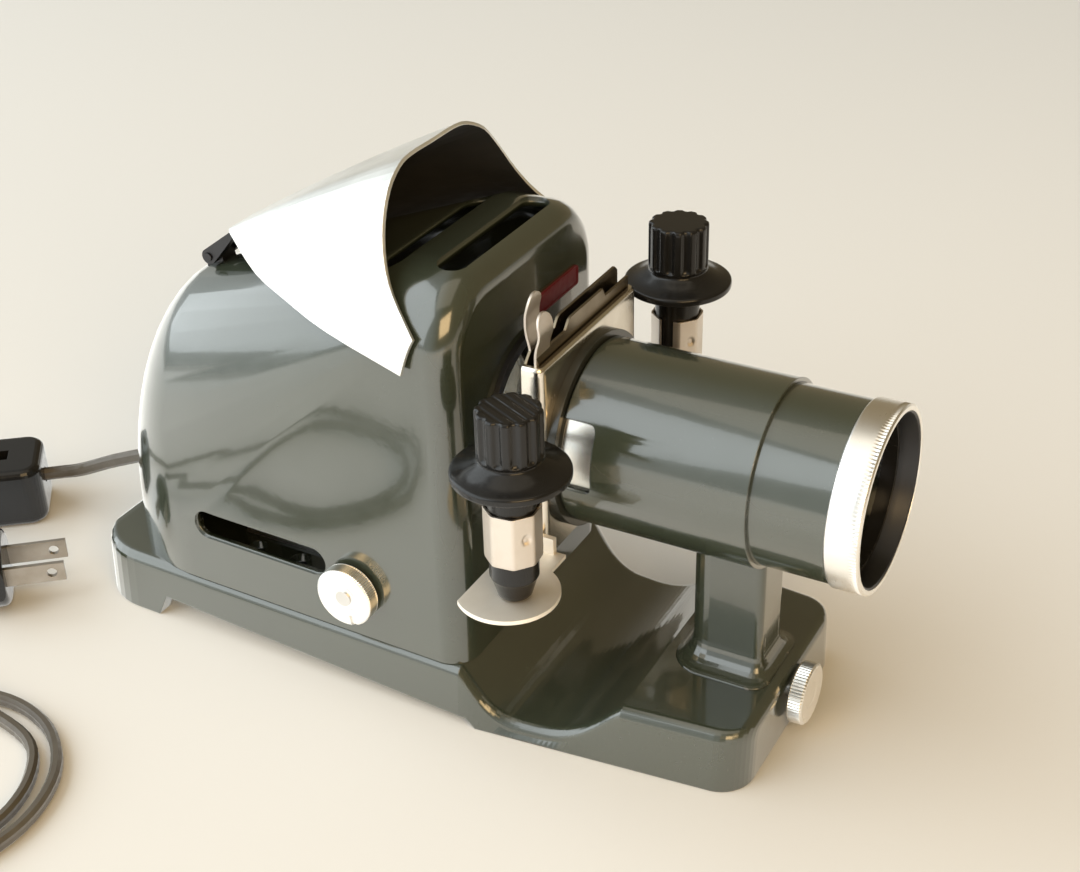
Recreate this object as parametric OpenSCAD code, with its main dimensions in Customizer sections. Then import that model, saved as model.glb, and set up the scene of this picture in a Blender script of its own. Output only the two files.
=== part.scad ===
// Small cast projector for film strips and mounted slides.
// X runs along the light path towards the lens, Y runs across and Z runs up. Sizes are in mm.
// The origin is on the table, straight below the film gate.

/* [Base] */
// Height of the optical axis above the table.
axis_h = 80.6; // [79:0.2:83]
// Distance from the film gate forward to the front face of the base.
base_front = 62; // [60.5:0.5:64]
// Distance from the film gate back to the rear end of the base.
base_rear = 160; // [157:0.5:166]
// Half width of the base at its front end.
base_front_half = 36; // [34:0.5:38]
// Half width of the base where the trough starts, its widest place.
base_mid_half = 43; // [42:0.5:46]
// Half width of the base at its rear end.
base_rear_half = 39.5; // [38:0.5:42]
// Height of the deck and of the front block.
deck_h = 18.8; // [17.6:0.2:20]
// Height of the lowest part of the trough that the film head swings over.
trough_h = 4.6; // [4.2:0.2:6]

/* [Lamp house] */
// Distance from the film gate back to the front wall.
house_front = 19; // [18:0.5:20]
// Half width of the lamp house.
house_half = 42; // [40.5:0.5:42.5]
// Height of the roof at its front edge.
roof_h = 133.5; // [130:0.5:137]
// Radius between the roof and the side walls.
shoulder_r = 21; // [18:0.5:24]
// Height of the top of the rounded rear.
dome_top_h = 108; // [106:0.5:112]
// Thickness of the cast wall.
house_wall = 2.8; // [2.4:0.1:3.4]
// Length of each vent slot in the roof.
roof_slot_l = 52; // [44:1:56]
// Width of each vent slot in the roof.
roof_slot_w = 8.4; // [7:0.2:9]
// Length of the vent slot in each side wall.
side_slot_l = 48; // [42:1:50]
// Height of the vent slot in each side wall.
side_slot_w = 9.2; // [7:0.2:10]

/* [Lens] */
// Outside radius of the fixed lens tube.
tube_r = 25.8; // [25.6:0.1:26.6]
// Outside radius of the sliding lens barrel.
barrel_r = 24.5; // [24:0.1:24.6]
// Distance from the film gate to the front end of the fixed tube.
tube_front = 55.6; // [54:0.2:57]
// Distance from the film gate to the back of the front ring.
ring_back = 75.9; // [74:0.2:78]
// Width of the front ring.
ring_w = 9.1; // [8:0.1:10]
// Outside radius of the front ring.
ring_r = 25.2; // [25:0.1:26]

/* [Film head] */
// Half the distance between the two spool axes.
spool_y = 49.6; // [48.5:0.1:51]
// Distance of the spool axes in front of the film gate.
spool_x = 2.6; // [2:0.1:3]
// How far the near spool sits below the optical axis, and the far one above it.
spool_step = 4.6; // [4:0.1:5]
// Clear width between a spool's flange and its lower guide, for 35 mm film.
film_gap = 38; // [37:0.2:38.6]
// Radius of a winding knob.
knob_r = 8.6; // [8:0.1:9.2]
// Height of the fluted part of the near winding knob.
knob_h = 12.6; // [11:0.2:14]
// Radius of a spool flange.
flange_r = 15.5; // [14.5:0.1:16]
// Radius of a spool core.
core_r = 6.5; // [6:0.1:6.6]
// Half width of the film gate, for a two inch slide.
gate_half = 28; // [27.6:0.1:28.6]
// Half height of the film gate.
gate_half_h = 30.6; // [30:0.1:31.4]

/* [Light shield] */
// Height of the front edge of the shield's crest above the table.
shield_h = 156.4; // [152:0.2:162]
// Half width of the shield at its front lower corners.
shield_half = 46.2; // [46:0.2:48]
// Thickness of the shield sheet.
shield_t = 1; // [0.8:0.1:1.2]

/* [Hidden] */
$fn = 96;
slide_fit = 0.06;
pin_fit = 0.05;

edge_r = 3.2;
base_draft = 1.0;
front_corner_r = 10.2;
rear_corner_r = 20;
trough_rear = -21;
trough_low_rear = -2;
trough_low_front = 1;
trough_front = 27;
base_wall = 3;
cavity_rear = -base_rear + 18;
cavity_front = -26;
cavity_half = 36;
cover_h = 9.2;
cover_t = 1.2;
boss_r = 4;

house_edge_r = 8;
dome_x = -115;
dome_back = 40;
dome_half = house_half - 2.5;
dome_low = 31;
roof_slot_x = [-28.5, -46.2];
side_slot_x = -88.6;
side_slot_z = 39.5;
condenser_r = 24.8;
side_knob_at = [-55, -47.2, 34.9];
cord_z = 29;
cord_hole_r = 2.6;

hub_r = barrel_r - 0.04;
bore_r = barrel_r + slide_fit;
tube_back = 3;
window_l = 9.2;
window_low = 76;
window_high = 95;
post_x = 44;
post_half_x = 11;
post_half_y = 8;
post_flare = 7;
post_flare_front = 3.6;
post_round_front = 2;
post_round_back = 6.5;
leg_r = 4;
leg_x = 45;
stud_r = 2.4;
tilt_z = 11.5;

gate_t = 1.2;
channel_d = 6;
plate_t = 0.8;
shaft_r = 2;
tab_t = 1.6;

pivot = [-122.8, 0, 109.4];
shield_pin_r = 1.25;
knuckle_r = 2.4;
lug_half = 3;
leaf_half = 6;

// ---------------------------------------------------------------- helpers

function mix(a, b, t) = a + (b - a) * t;
function clamp01(t) = max(0, min(1, t));
// Quarter circle: 0 at d = 0, r at d = r and beyond.
function round_up(d, r) = d >= r ? r : sqrt(max(0, r * r - (r - d) * (r - d)));

// Solid skin over a list of rings that all have the same number of points.
module loft(rings) {
    n = len(rings[0]);
    m = len(rings);
    points = [for (ring = rings) each ring];
    sides = [
        for (i = [0:m - 2], j = [0:n - 1])
            let (a = i * n + j, b = i * n + (j + 1) % n)
                each [[a, b, b + n], [a, b + n, a + n]]
    ];
    first = [for (j = [n - 1:-1:0]) j];
    last = [for (j = [0:n - 1]) (m - 1) * n + j];
    polyhedron(points = points, faces = concat([first], sides, [last]), convexity = 10);
}

// Turns a shape drawn along Z so that it runs along X.
module along_x() {
    rotate([0, 90, 0]) children();
}

// Turns a shape drawn along Z so that it runs along Y.
module along_y() {
    rotate([-90, 0, 0]) children();
}

// A shape placed on the optical axis at x, drawn along X.
module on_axis(x) {
    translate([x, 0, axis_h]) along_x() children();
}

module tube(r_out, r_in, h) {
    difference() {
        cylinder(r = r_out, h = h);
        translate([0, 0, -1]) cylinder(r = r_in, h = h + 2);
    }
}

// Straight slot with round ends, l long along Y and w wide, cut through h.
module slot_y(l, w, h) {
    for (s = [-1, 1]) translate([0, s * (l - w) / 2, 0]) cylinder(d = w, h = h);
    translate([-w / 2, -(l - w) / 2, 0]) cube([w, l - w, h]);
}

// Disc with both rims rounded by e, drawn from z = 0 to z = h.
module soft_disc(r, h, e) {
    steps = 4;
    rotate_extrude()
        polygon(concat(
            [[0, 0]],
            [for (i = [0:steps]) let (a = 90 * i / steps) [r - e + e * sin(a), e - e * cos(a)]],
            [for (i = [0:steps]) let (a = 90 * i / steps) [r - e + e * cos(a), h - e + e * sin(a)]],
            [[0, h]]
        ));
}

// ---------------------------------------------------------------- base

function plan_side(x) =
    x < trough_rear
        ? mix(base_rear_half, base_mid_half,
              clamp01((x + base_rear - rear_corner_r) / (base_rear - rear_corner_r + trough_rear)))
        : mix(base_mid_half, base_front_half,
              clamp01((x - trough_rear) / (base_front - front_corner_r - trough_rear)));

function plan_half(x) =
    plan_side(x)
    - (rear_corner_r - round_up(x + base_rear, rear_corner_r))
    - (front_corner_r - round_up(base_front - x, front_corner_r));

// Floor of the trough: steep behind, shallow in front, blending into the deck.
function trough_at(x) =
    let (
        t_rear = clamp01((trough_low_rear - x) / (trough_low_rear - trough_rear)),
        t_front = clamp01((x - trough_low_front) / (trough_front - trough_low_front)),
        rise = clamp01(pow(t_rear, 2.5) + pow(t_front, 2.1)),
        soft_rise = sin(90 * pow(rise, 1.35))
    )
    mix(trough_h, deck_h, mix(rise, soft_rise, 0.35));

function top_at(x) =
    trough_at(x)
    - (edge_r - round_up(x + base_rear, edge_r))
    - (edge_r - round_up(base_front - x, edge_r));

function base_ring(x) =
    let (h = top_at(x), w = plan_half(x), steps = 6)
    concat(
        [[x, -w - base_draft, 0]],
        [for (i = [0:steps]) let (a = 90 * i / steps)
            [x, -w + edge_r * (1 - cos(a)), h - edge_r * (1 - sin(a))]],
        [for (i = [steps:-1:0]) let (a = 90 * i / steps)
            [x, w - edge_r * (1 - cos(a)), h - edge_r * (1 - sin(a))]],
        [[x, w + base_draft, 0]]
    );

rear_stations = [for (a = [0:9:90]) -base_rear + rear_corner_r * (1 - cos(a))];
trough_stations = [for (x = [trough_rear:1.5:trough_front + 1]) x];
front_stations = [for (a = [90:-9:0]) base_front - front_corner_r * (1 - cos(a))];

module base_body() {
    loft([for (x = concat(rear_stations, [-100, -60], trough_stations, front_stations)) base_ring(x)]);
}

cover_boss_at = [for (x = [cavity_rear + 6, cavity_front - 16], y = [-1, 1]) [x, y * (cavity_half - 5.5)]];
house_screw_at = [for (p = [[-122, 32], [-32, house_half - 6.5]], s = [-1, 1]) [p[0], s * p[1]]];
stand_screw_at = [for (p = [[36.3, 4.2], [53, 5]], side = [-1, 1]) [p[0], side * p[1]]];

module base_casting() {
    color("#3f463c") difference() {
        base_body();
        difference() {
            translate([cavity_rear, -cavity_half, -1])
                cube([cavity_front - cavity_rear, 2 * cavity_half, deck_h - base_wall + 1]);
            for (p = cover_boss_at) translate([p[0], p[1], cover_h]) cylinder(r = boss_r, h = 20);
        }
        for (p = cover_boss_at) translate([p[0], p[1], 0]) cylinder(r = 1.5, h = deck_h - base_wall - 1);
        for (p = house_screw_at) translate([p[0], p[1], -1]) {
            cylinder(r = 2.05, h = 30);
            cylinder(r = 4, h = deck_h - base_wall + 1);
        }
        for (p = stand_screw_at) translate([p[0], p[1], 0]) {
            translate([0, 0, -1]) cylinder(r = 3.6, h = 5);
            cylinder(r = 1.85, h = 30);
        }
        side_arch();
        vent_slots();
        translate([leg_x, 0, -1]) cylinder(r = leg_r + pin_fit, h = 40);
        translate([leg_x, 0, -1]) cylinder(r = 6.6, h = 5);
        translate([leg_x, 0, tilt_z]) along_x() cylinder(r = stud_r + pin_fit, h = 40);
    }
}

// The rim of the base is raised off the table between the rear feet and the front block.
module side_arch() {
    translate([0, 100, 0]) rotate([90, 0, 0]) linear_extrude(200)
        polygon([[-132, -1], [-128, 7.4], [-19, 3], [-15, -1]]);
}

module vent_slots() {
    for (x = [-108, -92, -76], s = [-1, 1]) translate([x, s * 23, 0]) slot_y(16, 6, 40);
}

module base_cover() {
    color("#6f6f6a") difference() {
        translate([cavity_rear + 0.5, -cavity_half + 0.5, cover_h - cover_t])
            cube([cavity_front - cavity_rear - 1, 2 * cavity_half - 1, cover_t]);
        for (p = cover_boss_at) translate([p[0], p[1], 0]) cylinder(r = 1.7, h = 30);
        vent_slots();
    }
}

// Round-head screw standing on z = 0 with its head below.
module screw(r, l, head_r, head_h) {
    difference() {
        union() {
            cylinder(r = r, h = l);
            translate([0, 0, -head_h]) cylinder(r = head_r, h = head_h);
        }
        translate([-head_r, -0.4, -head_h - 1]) cube([2 * head_r, 0.8, 1.7]);
    }
}

module cover_screws() {
    color("#b9b9b2") for (p = cover_boss_at)
        translate([p[0], p[1], cover_h - cover_t]) screw(1.45, 6.4, 2.8, 1.6);
}

module house_screws() {
    color("#b9b9b2") for (p = house_screw_at)
        translate([p[0], p[1], deck_h - base_wall]) screw(2, 13, 3.6, 2);
}

module stand_screws() {
    color("#b9b9b2") for (p = stand_screw_at)
        translate([p[0], p[1], 4]) screw(1.8, 25, 3.4, 2);
}

// ---------------------------------------------------------------- lamp house

// Disc whose far rim only is rounded by e, drawn from z = 0 to z = h.
module nosed_disc(r, h, e) {
    steps = 5;
    rotate_extrude($fn = 48)
        polygon(concat(
            [[0, 0], [r, 0]],
            [for (i = [0:steps]) let (a = 90 * i / steps) [r - e + e * cos(a), h - e + e * sin(a)]],
            [[0, h]]
        ));
}

// Rounded rear of the lamp house: a quarter ellipse turned about an upright axis, on a straight skirt.
module dome(g, low) {
    steps = 14;
    top = dome_top_h - g;
    scale([1, (dome_half - g) / (dome_back - g), 1])
        rotate_extrude($fn = 64)
            polygon(concat(
                [[0, low], [dome_back - g, low]],
                [for (i = [0:steps]) let (a = 90 * i / steps)
                    [(dome_back - g) * cos(a), dome_low + (top - dome_low) * sin(a)]]
            ));
}

// Convex body of the lamp house, drawn in by g all round and reaching down to z = low.
module house_form(g, low) {
    r = shoulder_r - g;
    e = max(1, house_edge_r - g);
    hull() {
        for (s = [-1, 1]) {
            translate([-house_front - g - 20, s * (house_half - shoulder_r), roof_h - shoulder_r])
                along_x() nosed_disc(r, 20, e);
            translate([-house_front - g - e, s * (house_half - g - e), low]) cylinder(r = e, h = 1, $fn = 32);
        }
        translate([dome_x, 0, 0]) dome(g, low);
    }
}

module lamp_house() {
    color("#3f463c") difference() {
        union() {
            difference() {
                house_form(0, deck_h);
                house_form(house_wall, deck_h - 5);
            }
            for (p = house_screw_at) translate([p[0], p[1], deck_h]) cylinder(r = 4.5, h = 14);
        }
        for (p = house_screw_at) translate([p[0], p[1], deck_h - 1]) cylinder(r = 2, h = 13);
        for (x = roof_slot_x) translate([x, 0, 108]) slot_y(roof_slot_l, roof_slot_w, 40);
        side_slots();
        on_axis(-house_front - 20) cylinder(r = condenser_r + pin_fit, h = 30);
        translate([-170, 0, cord_z]) along_x() cylinder(r = 4.6, h = 40);
        translate(side_knob_at) along_y() cylinder(r = stud_r + pin_fit, h = 30);
    }
}

module side_slots() {
    for (x = [-1, 1]) translate([side_slot_x + x * (side_slot_l - side_slot_w) / 2, -60, side_slot_z])
        along_y() cylinder(d = side_slot_w, h = 120);
    translate([side_slot_x - (side_slot_l - side_slot_w) / 2, -60, side_slot_z - side_slot_w / 2])
        cube([side_slot_l - side_slot_w, 120, side_slot_w]);
}

// Blank plate low on the front wall, off to the far side.
label_y = [1.6, 27.6];
label_z = [108.2, 114];
label_t = 0.8;

module label_plate() {
    color("#7a1f24") translate([-house_front, label_y[0], label_z[0]])
        cube([label_t, label_y[1] - label_y[0], label_z[1] - label_z[0]]);
}

module cord_grommet() {
    color("#1b1b1b") translate([-157.4, 0, cord_z]) along_x() difference() {
        union() {
            cylinder(r = 4.5, h = 8);
            soft_disc(6.2, 2.4, 0.8);
        }
        translate([0, 0, -1]) cylinder(r = 2.9, h = 12);
    }
}

module side_knob() {
    color("#c9c9c4") translate(side_knob_at) along_y() difference() {
        soft_disc(9.1, 4.6, 0.6);
        translate([0, 0, -1]) cylinder(r = stud_r, h = 10);
        translate([-0.4, 5.5, -1]) cube([0.8, 4, 1.5]);
    }
}

module side_stud() {
    color("#b0b0a8") translate(side_knob_at) along_y() cylinder(r = stud_r, h = 17);
}

// ---------------------------------------------------------------- power cord

// Points of a smooth curve through the given knots.
function spline(k, steps) = [
    for (i = [1:len(k) - 3], s = [0:steps - 1])
        let (t = s / steps)
            0.5 * ((2 * k[i]) + (k[i + 1] - k[i - 1]) * t
            + (2 * k[i - 1] - 5 * k[i] + 4 * k[i + 1] - k[i + 2]) * t * t
            + (3 * k[i] - k[i - 1] - 3 * k[i + 1] + k[i + 2]) * t * t * t),
    k[len(k) - 2]
];

function unit(v) = v / norm(v);

// Ring of the two-core cord at p, square to direction d.
function cord_ring(p, d) =
    let (side = unit(cross(d, [0, 0, 1])), up = unit(cross(side, d)), n = 10)
    [for (j = [0:n - 1])
        let (a = 360 * j / n, r = 1.35 + 0.95 * abs(sin(a)))
            p + side * r * cos(a) + up * r * sin(a)];

module cord(knots) {
    p = spline(knots, 5);
    n = len(p);
    loft([for (i = [0:n - 1]) cord_ring(p[i], unit(p[min(i + 1, n - 1)] - p[max(i - 1, 0)]))]);
}

// Loose coil on the table, running anticlockwise and inwards as a grows.
coil_at = [-141, -134];
function coil(a) =
    let (r = 41 - (a - 270) / 54)
    [coil_at[0] + r * cos(a), coil_at[1] + r * sin(a), 2.4];

house_lead = [
    [-146, 0, cord_z], [-152, 0, cord_z], [-161, 0, cord_z - 0.6], [-178, -1.5, 22], [-194, -2.5, 14.5],
    [-202, -4.4, 12.3], [-209.5, -9.9, 12], [-216, -15, 12]
];
plug_lead = concat(
    [
        [-228, -24, 12], [-231.5, -27.1, 12], [-240, -34, 11.5], [-254, -50, 6], [-262, -74, 2.4],
        [-258, -104, 2.4], [-238, -136, 2.4], [-205, -163, 2.4], [-172, -174, 2.4]
    ],
    [for (a = [270:30:780]) coil(a)],
    [
        [-148, -103.6, 5], [-163, -103, 7.4], [-182, -103, 7], [-202, -101, 5.5], [-216, -94, 8],
        [-213, -84.5, 11.8], [-205, -77, 12.4], [-199.5, -72.4, 12.4], [-190, -64.5, 12.4]
    ]
);

module power_cord() {
    color("#4a3a32") {
        cord(house_lead);
        cord(plug_lead);
    }
}

switch_at = [-220.5, -18.5, 12];
switch_turn = 38;

module cord_switch() {
    color("#1b1b1b") translate(switch_at) rotate([0, 0, switch_turn]) difference() {
        hull() for (x = [-12, 12], y = [-7, 7]) translate([x, y, -12]) soft_disc(6, 21, 2.5, $fn = 32);
        translate([0, 0, 5]) cube([14, 6, 20], center = true);
        for (s = [-1, 1]) translate([s * 18 - 6, 0, 0]) along_x() cylinder(r = cord_hole_r, h = 12);
    }
}

module switch_button() {
    color("#2a2624") translate(switch_at) rotate([0, 0, switch_turn])
        translate([-6.6, -2.7, -3.6]) cube([8, 5.4, 14.6]);
}

plug_turn = 39.7;
plug_tip = [-164.8, -43.6, 12.4];
blade_l = 20;
blade_w = 6.35;
blade_t = 1.5;
blade_gap = 12.7;

// Places a shape drawn with the blades' tips at its origin and the cord end towards -X.
module at_plug() {
    translate(plug_tip) rotate([0, 0, plug_turn]) children();
}

module plug_body() {
    color("#1b1b1b") at_plug() difference() {
        union() {
            translate([-27, 0, 0]) along_x() intersection() {
                soft_disc(12.4, 9, 2);
                cube([50, 22, 50], center = true);
            }
            translate([-43, 0, 0]) along_x() cylinder(r1 = 5, r2 = 8.5, h = 16.5);
        }
        translate([-44, 0, 0]) along_x() cylinder(r = cord_hole_r, h = 6);
        for (s = [-1, 1]) blade(s, 0);
    }
}

// One flat blade of the plug, its tip at x = 0; grow fattens it all round.
module blade(s, grow) {
    translate([-blade_l, s * blade_gap / 2 - blade_t / 2 - grow, -blade_w / 2 - grow])
        cube([blade_l, blade_t + 2 * grow, blade_w + 2 * grow]);
}

module plug_blades() {
    color("#8a7a58") at_plug() for (s = [-1, 1]) difference() {
        blade(s, -0.005);
        translate([-4, s * blade_gap / 2 - 5, 0]) along_y() cylinder(r = 1.6, h = 10);
    }
}

// ---------------------------------------------------------------- condenser and lamp

condenser_l = 42;

module condenser_tube() {
    color("#8d8d88") {
        on_axis(-house_front - condenser_l + 1.5) tube(condenser_r, condenser_r - 1.6, condenser_l);
        on_axis(-house_front) tube(condenser_r + 1.1, condenser_r - 1.6, 1.5);
    }
}

// Plano-convex lens of radius r, with its flat at z = 0 and its bulge h high above a rim of rim.
module bulged_lens(r, rim, h) {
    ball = (r * r + h * h) / (2 * h);
    intersection() {
        cylinder(r = r, h = rim + h);
        translate([0, 0, rim + h - ball]) sphere(r = ball);
    }
}

module condenser_front_lens() {
    color("#cfe3e6") on_axis(-house_front - 13) bulged_lens(condenser_r - 1.7, 2.5, 7.5);
}

module condenser_rear_lens() {
    color("#cfe3e6") translate([-house_front - 26, 0, axis_h]) rotate([0, -90, 0])
        bulged_lens(condenser_r - 1.7, 2.5, 7.5);
}

module condenser_ring() {
    color("#8d8d88") on_axis(-house_front - 26) tube(condenser_r - 1.7, condenser_r - 3.4, 13);
}

module heat_glass() {
    color("#bcd8cc") on_axis(-house_front - condenser_l + 1.5) cylinder(r = condenser_r - 1.7, h = 2.5);
}

lamp_x = -86;

module lamp_tray() {
    color("#a9a9a2") {
        translate([-116, -13, deck_h]) cube([66, 26, 1.2]);
        difference() {
            translate([-66, -32, deck_h]) cube([20, 1.6, 26]);
            translate(side_knob_at) along_y() cylinder(r = stud_r + pin_fit, h = 30);
        }
        translate([-66, -32, deck_h]) cube([16, 20, 1.2]);
    }
}

module lamp_socket() {
    color("#d8d2c2") translate([lamp_x, 0, deck_h + 1.2]) difference() {
        cylinder(r = 12.5, h = 20);
        translate([0, 0, 5]) cylinder(r = 8.7, h = 20);
    }
}

module lamp_base() {
    color("#b48a45") translate([lamp_x, 0, deck_h + 6.4]) cylinder(r = 8.6, h = 24);
}

module lamp_glass() {
    color("#dfe8ea") translate([lamp_x, 0, deck_h + 30.4]) {
        cylinder(r1 = 8.4, r2 = 12, h = 8);
        translate([0, 0, 8]) cylinder(r = 12, h = 32);
        translate([0, 0, 40]) sphere(r = 12);
    }
}

module reflector() {
    ball = 40;
    color("#d5d5d0") translate([lamp_x + 8, 0, axis_h]) intersection() {
        difference() {
            sphere(r = ball);
            sphere(r = ball - 1.2);
        }
        translate([-60, 0, 0]) along_x() cylinder(r = 19, h = 60);
    }
}

module reflector_bracket() {
    color("#a9a9a2") {
        translate([-121.2, -7, deck_h]) cube([1.6, 14, axis_h - deck_h + 5]);
        translate([-121.2, -7, deck_h]) cube([5.2, 14, 1.2]);
        translate([-119.6, 0, axis_h]) along_x() cylinder(r = 3, h = 1.6);
    }
}

// ---------------------------------------------------------------- lens stand and tilt leg

// Rounded rectangle around the post at height z, spread out by flare times the foot's full reach. The two corners
// at the back are much rounder than those at the front.
function post_ring(z, flare) =
    let (
        steps = 6,
        hx = post_half_x + flare * post_flare_front,
        hy = post_half_y + flare * post_flare
    )
    [for (q = [0:3], i = [0:steps])
        let (
            a = 90 * q + 90 * i / steps,
            sx = (q == 0 || q == 3) ? 1 : -1,
            sy = q < 2 ? 1 : -1,
            c = (sx > 0 ? post_round_front : post_round_back) + flare * post_flare_front
        )
        [post_x + sx * (hx - c) + c * cos(a), sy * (hy - c) + c * sin(a), z]];

// Opening through both sides of the tube at its rear end, with two round corners.
module tube_window() {
    r = 2;
    translate([tube_back - 1, -60, window_low]) cube([window_l + 1 - r, 120, window_high - window_low]);
    translate([tube_back - 1, -60, window_low + r]) cube([window_l + 1, 120, window_high - window_low - 2 * r]);
    for (z = [window_low + r, window_high - r])
        translate([tube_back + window_l - r, 0, z]) along_y() cylinder(r = r, h = 120, center = true);
}

module lens_stand() {
    steps = 8;
    color("#3f463c") difference() {
        union() {
            on_axis(tube_back) cylinder(r = tube_r, h = tube_front - tube_back);
            loft(concat(
                [post_ring(axis_h - 14, 0)],
                [for (i = [steps:-1:0]) let (a = 90 * i / steps)
                    post_ring(deck_h + post_flare * (1 - cos(a)), 1 - sin(a))]
            ));
        }
        on_axis(tube_back - 1) cylinder(r = bore_r, h = tube_front - tube_back + 2);
        tube_window();
        for (p = stand_screw_at) translate([p[0], p[1], deck_h - 1]) cylinder(r = 1.85, h = 12);
        translate([leg_x, 0, deck_h - 1]) cylinder(r = leg_r + pin_fit, h = 34);
    }
}

module tilt_leg() {
    color("#b9b9b2") translate([leg_x, 0, 3]) cylinder(r = leg_r, h = 46);
}

module tilt_foot() {
    color("#1b1b1b") translate([leg_x, 0, 0.3]) difference() {
        soft_disc(6, 3.4, 0.7);
        translate([0, 0, 2.7]) cylinder(r = leg_r, h = 3);
    }
}

module tilt_stud() {
    color("#b0b0a8") translate([leg_x + leg_r + 0.1, 0, tilt_z]) along_x()
        cylinder(r = stud_r, h = base_front + 5 - leg_x - leg_r);
}

module tilt_knob() {
    color("#c9c9c4") translate([base_front + 1.4, 0, tilt_z]) along_x() difference() {
        soft_disc(8.9, 4.6, 0.6);
        translate([0, 0, -1]) cylinder(r = stud_r, h = 10);
    }
}

// ---------------------------------------------------------------- lens

barrel_back = 30;

module lens_barrel() {
    color("#3f463c") on_axis(barrel_back) difference() {
        cylinder(r = barrel_r, h = ring_back - barrel_back + 4);
        translate([0, 0, -1]) cylinder(r = barrel_r - 3, h = 60);
        translate([0, 0, ring_back - barrel_back - 12]) cylinder(r = barrel_r - 1.5, h = 60);
    }
}

module lens_ring() {
    color("#c9c9c4") on_axis(ring_back) difference() {
        cylinder(r = ring_r, h = ring_w);
        translate([0, 0, -1]) cylinder(r = barrel_r, h = 5);
        translate([0, 0, 3]) cylinder(r1 = 21.4, r2 = 23.2, h = ring_w);
    }
}

module lens_retainer() {
    color("#1b1b1b") on_axis(ring_back - 0.2) tube(barrel_r - 1.5, 20.4, 4.1);
}

module front_lens() {
    color("#d7e6ea") on_axis(ring_back - 10.2) bulged_lens(barrel_r - 1.6, 4.5, 5);
}

module middle_lens() {
    color("#d7e6ea") on_axis(barrel_back + 16) cylinder(r = barrel_r - 3.1, h = 3);
}

module rear_lens() {
    color("#d7e6ea") translate([barrel_back + 9, 0, axis_h]) rotate([0, -90, 0])
        bulged_lens(barrel_r - 3.1, 2, 4.5);
}

// ---------------------------------------------------------------- film head

module head_hub() {
    color("#2f342d") {
        on_axis(0) tube(hub_r, hub_r - 2.2, 13);
        on_axis(0) tube(27.6, hub_r - 2.2, 2.4);
    }
}

gate_low = -27;
film_x = -4.9;
hinge_x = -7.2;
hinge_z = axis_h - 30.4;

// Bent-up channel that carries the film and slides, open at the top and to the rear.
module gate_frame() {
    inner = gate_half - gate_t;
    color("#b8b4a8") difference() {
        union() {
            translate([-channel_d, -gate_half, axis_h + gate_low])
                cube([channel_d, 2 * gate_half, gate_half_h - gate_low]);
            for (s = [-1, 1]) translate([-9.4, s * (gate_half - gate_t / 2), hinge_z + 2])
                cube([8, gate_t, 8], center = true);
        }
        translate([-channel_d - 1, -inner, axis_h + gate_low + gate_t])
            cube([channel_d + 1 - gate_t, 2 * inner, 80]);
        translate([-10, -19, axis_h - 13]) cube([20, 38, 26]);
        for (s = [-1, 1]) {
            translate([film_x, s * gate_half, axis_h]) cube([2.4, 8, film_gap], center = true);
        }
        translate([hinge_x, 0, hinge_z]) along_y() cylinder(r = 0.8, h = 80, center = true);
    }
}

tab_half = 3.6;
plate_side = gate_half - gate_t - 0.2;
plate_dip = 33.6;
plate_top = 36.3;
plate_step_y = -8;

// Pressure plate drawn in the YZ plane: a raised edge that ends at top_end, and a finger tab at tab_y that
// rises to tab_top above the axis.
module plate_outline(low, top_end, tab_y, tab_top) {
    step = plate_top - plate_dip;
    difference() {
        union() {
            polygon([
                [-plate_side, low], [plate_side, low], [plate_side, plate_dip], [top_end, plate_dip],
                [top_end, plate_top], [plate_step_y + 0.6, plate_top], [plate_step_y - step, plate_dip],
                [tab_y + tab_half, plate_dip], [tab_y - tab_half, plate_dip], [-plate_side, plate_dip - 3]
            ]);
            translate([tab_y - tab_half, plate_dip - 3])
                square([2 * tab_half, tab_top - plate_dip + 3 - tab_half]);
            translate([tab_y, tab_top - tab_half]) circle(r = tab_half);
        }
        square([38, 26], center = true);
    }
}

module pressure_plate(x, low, top_end, tab_y, tab_top) {
    translate([x, 0, axis_h]) rotate([90, 0, 90]) linear_extrude(plate_t)
        plate_outline(low, top_end, tab_y, tab_top);
}

module front_pressure_plate() {
    color("#57503f") pressure_plate(-3.0, gate_low + gate_t, 12.6, -22.9, 44.6);
}

module rear_pressure_plate() {
    color("#57503f") difference() {
        union() {
            pressure_plate(-7.6, gate_low - 1, plate_side, -19.6, 48);
            for (y = [-18, 18]) hull() {
                translate([hinge_x, y, hinge_z]) along_y() cylinder(r = 1.7, h = 6, center = true, $fn = 24);
                translate([-7.6, y - 3, axis_h + gate_low - 1]) cube([plate_t, 6, 0.5]);
            }
        }
        translate([hinge_x, 0, hinge_z]) along_y() cylinder(r = 0.8 + pin_fit, h = 80, center = true);
    }
}

module gate_pin() {
    color("#b9b9b2") translate([hinge_x, 0, hinge_z]) along_y()
        cylinder(r = 0.8, h = 2 * gate_half, center = true);
}

module front_glass() {
    color("#d5e2e0") translate([-4.3, -22, axis_h - 19]) cube([1.3, 44, 38]);
}

module rear_glass() {
    color("#d5e2e0") translate([-6.8, -22, axis_h - 19]) cube([1.3, 44, 38]);
}

// ---------------------------------------------------------------- spools

// Height of the underside of a spool's flange; s is -1 for the near spool and 1 for the far one.
function flange_z(s) = axis_h + s * spool_step + film_gap / 2 - 1.5;
function guide_z(s) = axis_h + s * spool_step - film_gap / 2;

module at_spool(s, z) {
    translate([spool_x, s * spool_y, z]) children();
}

guide_t = 1.2;
guide_hub_h = 3.2;

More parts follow.
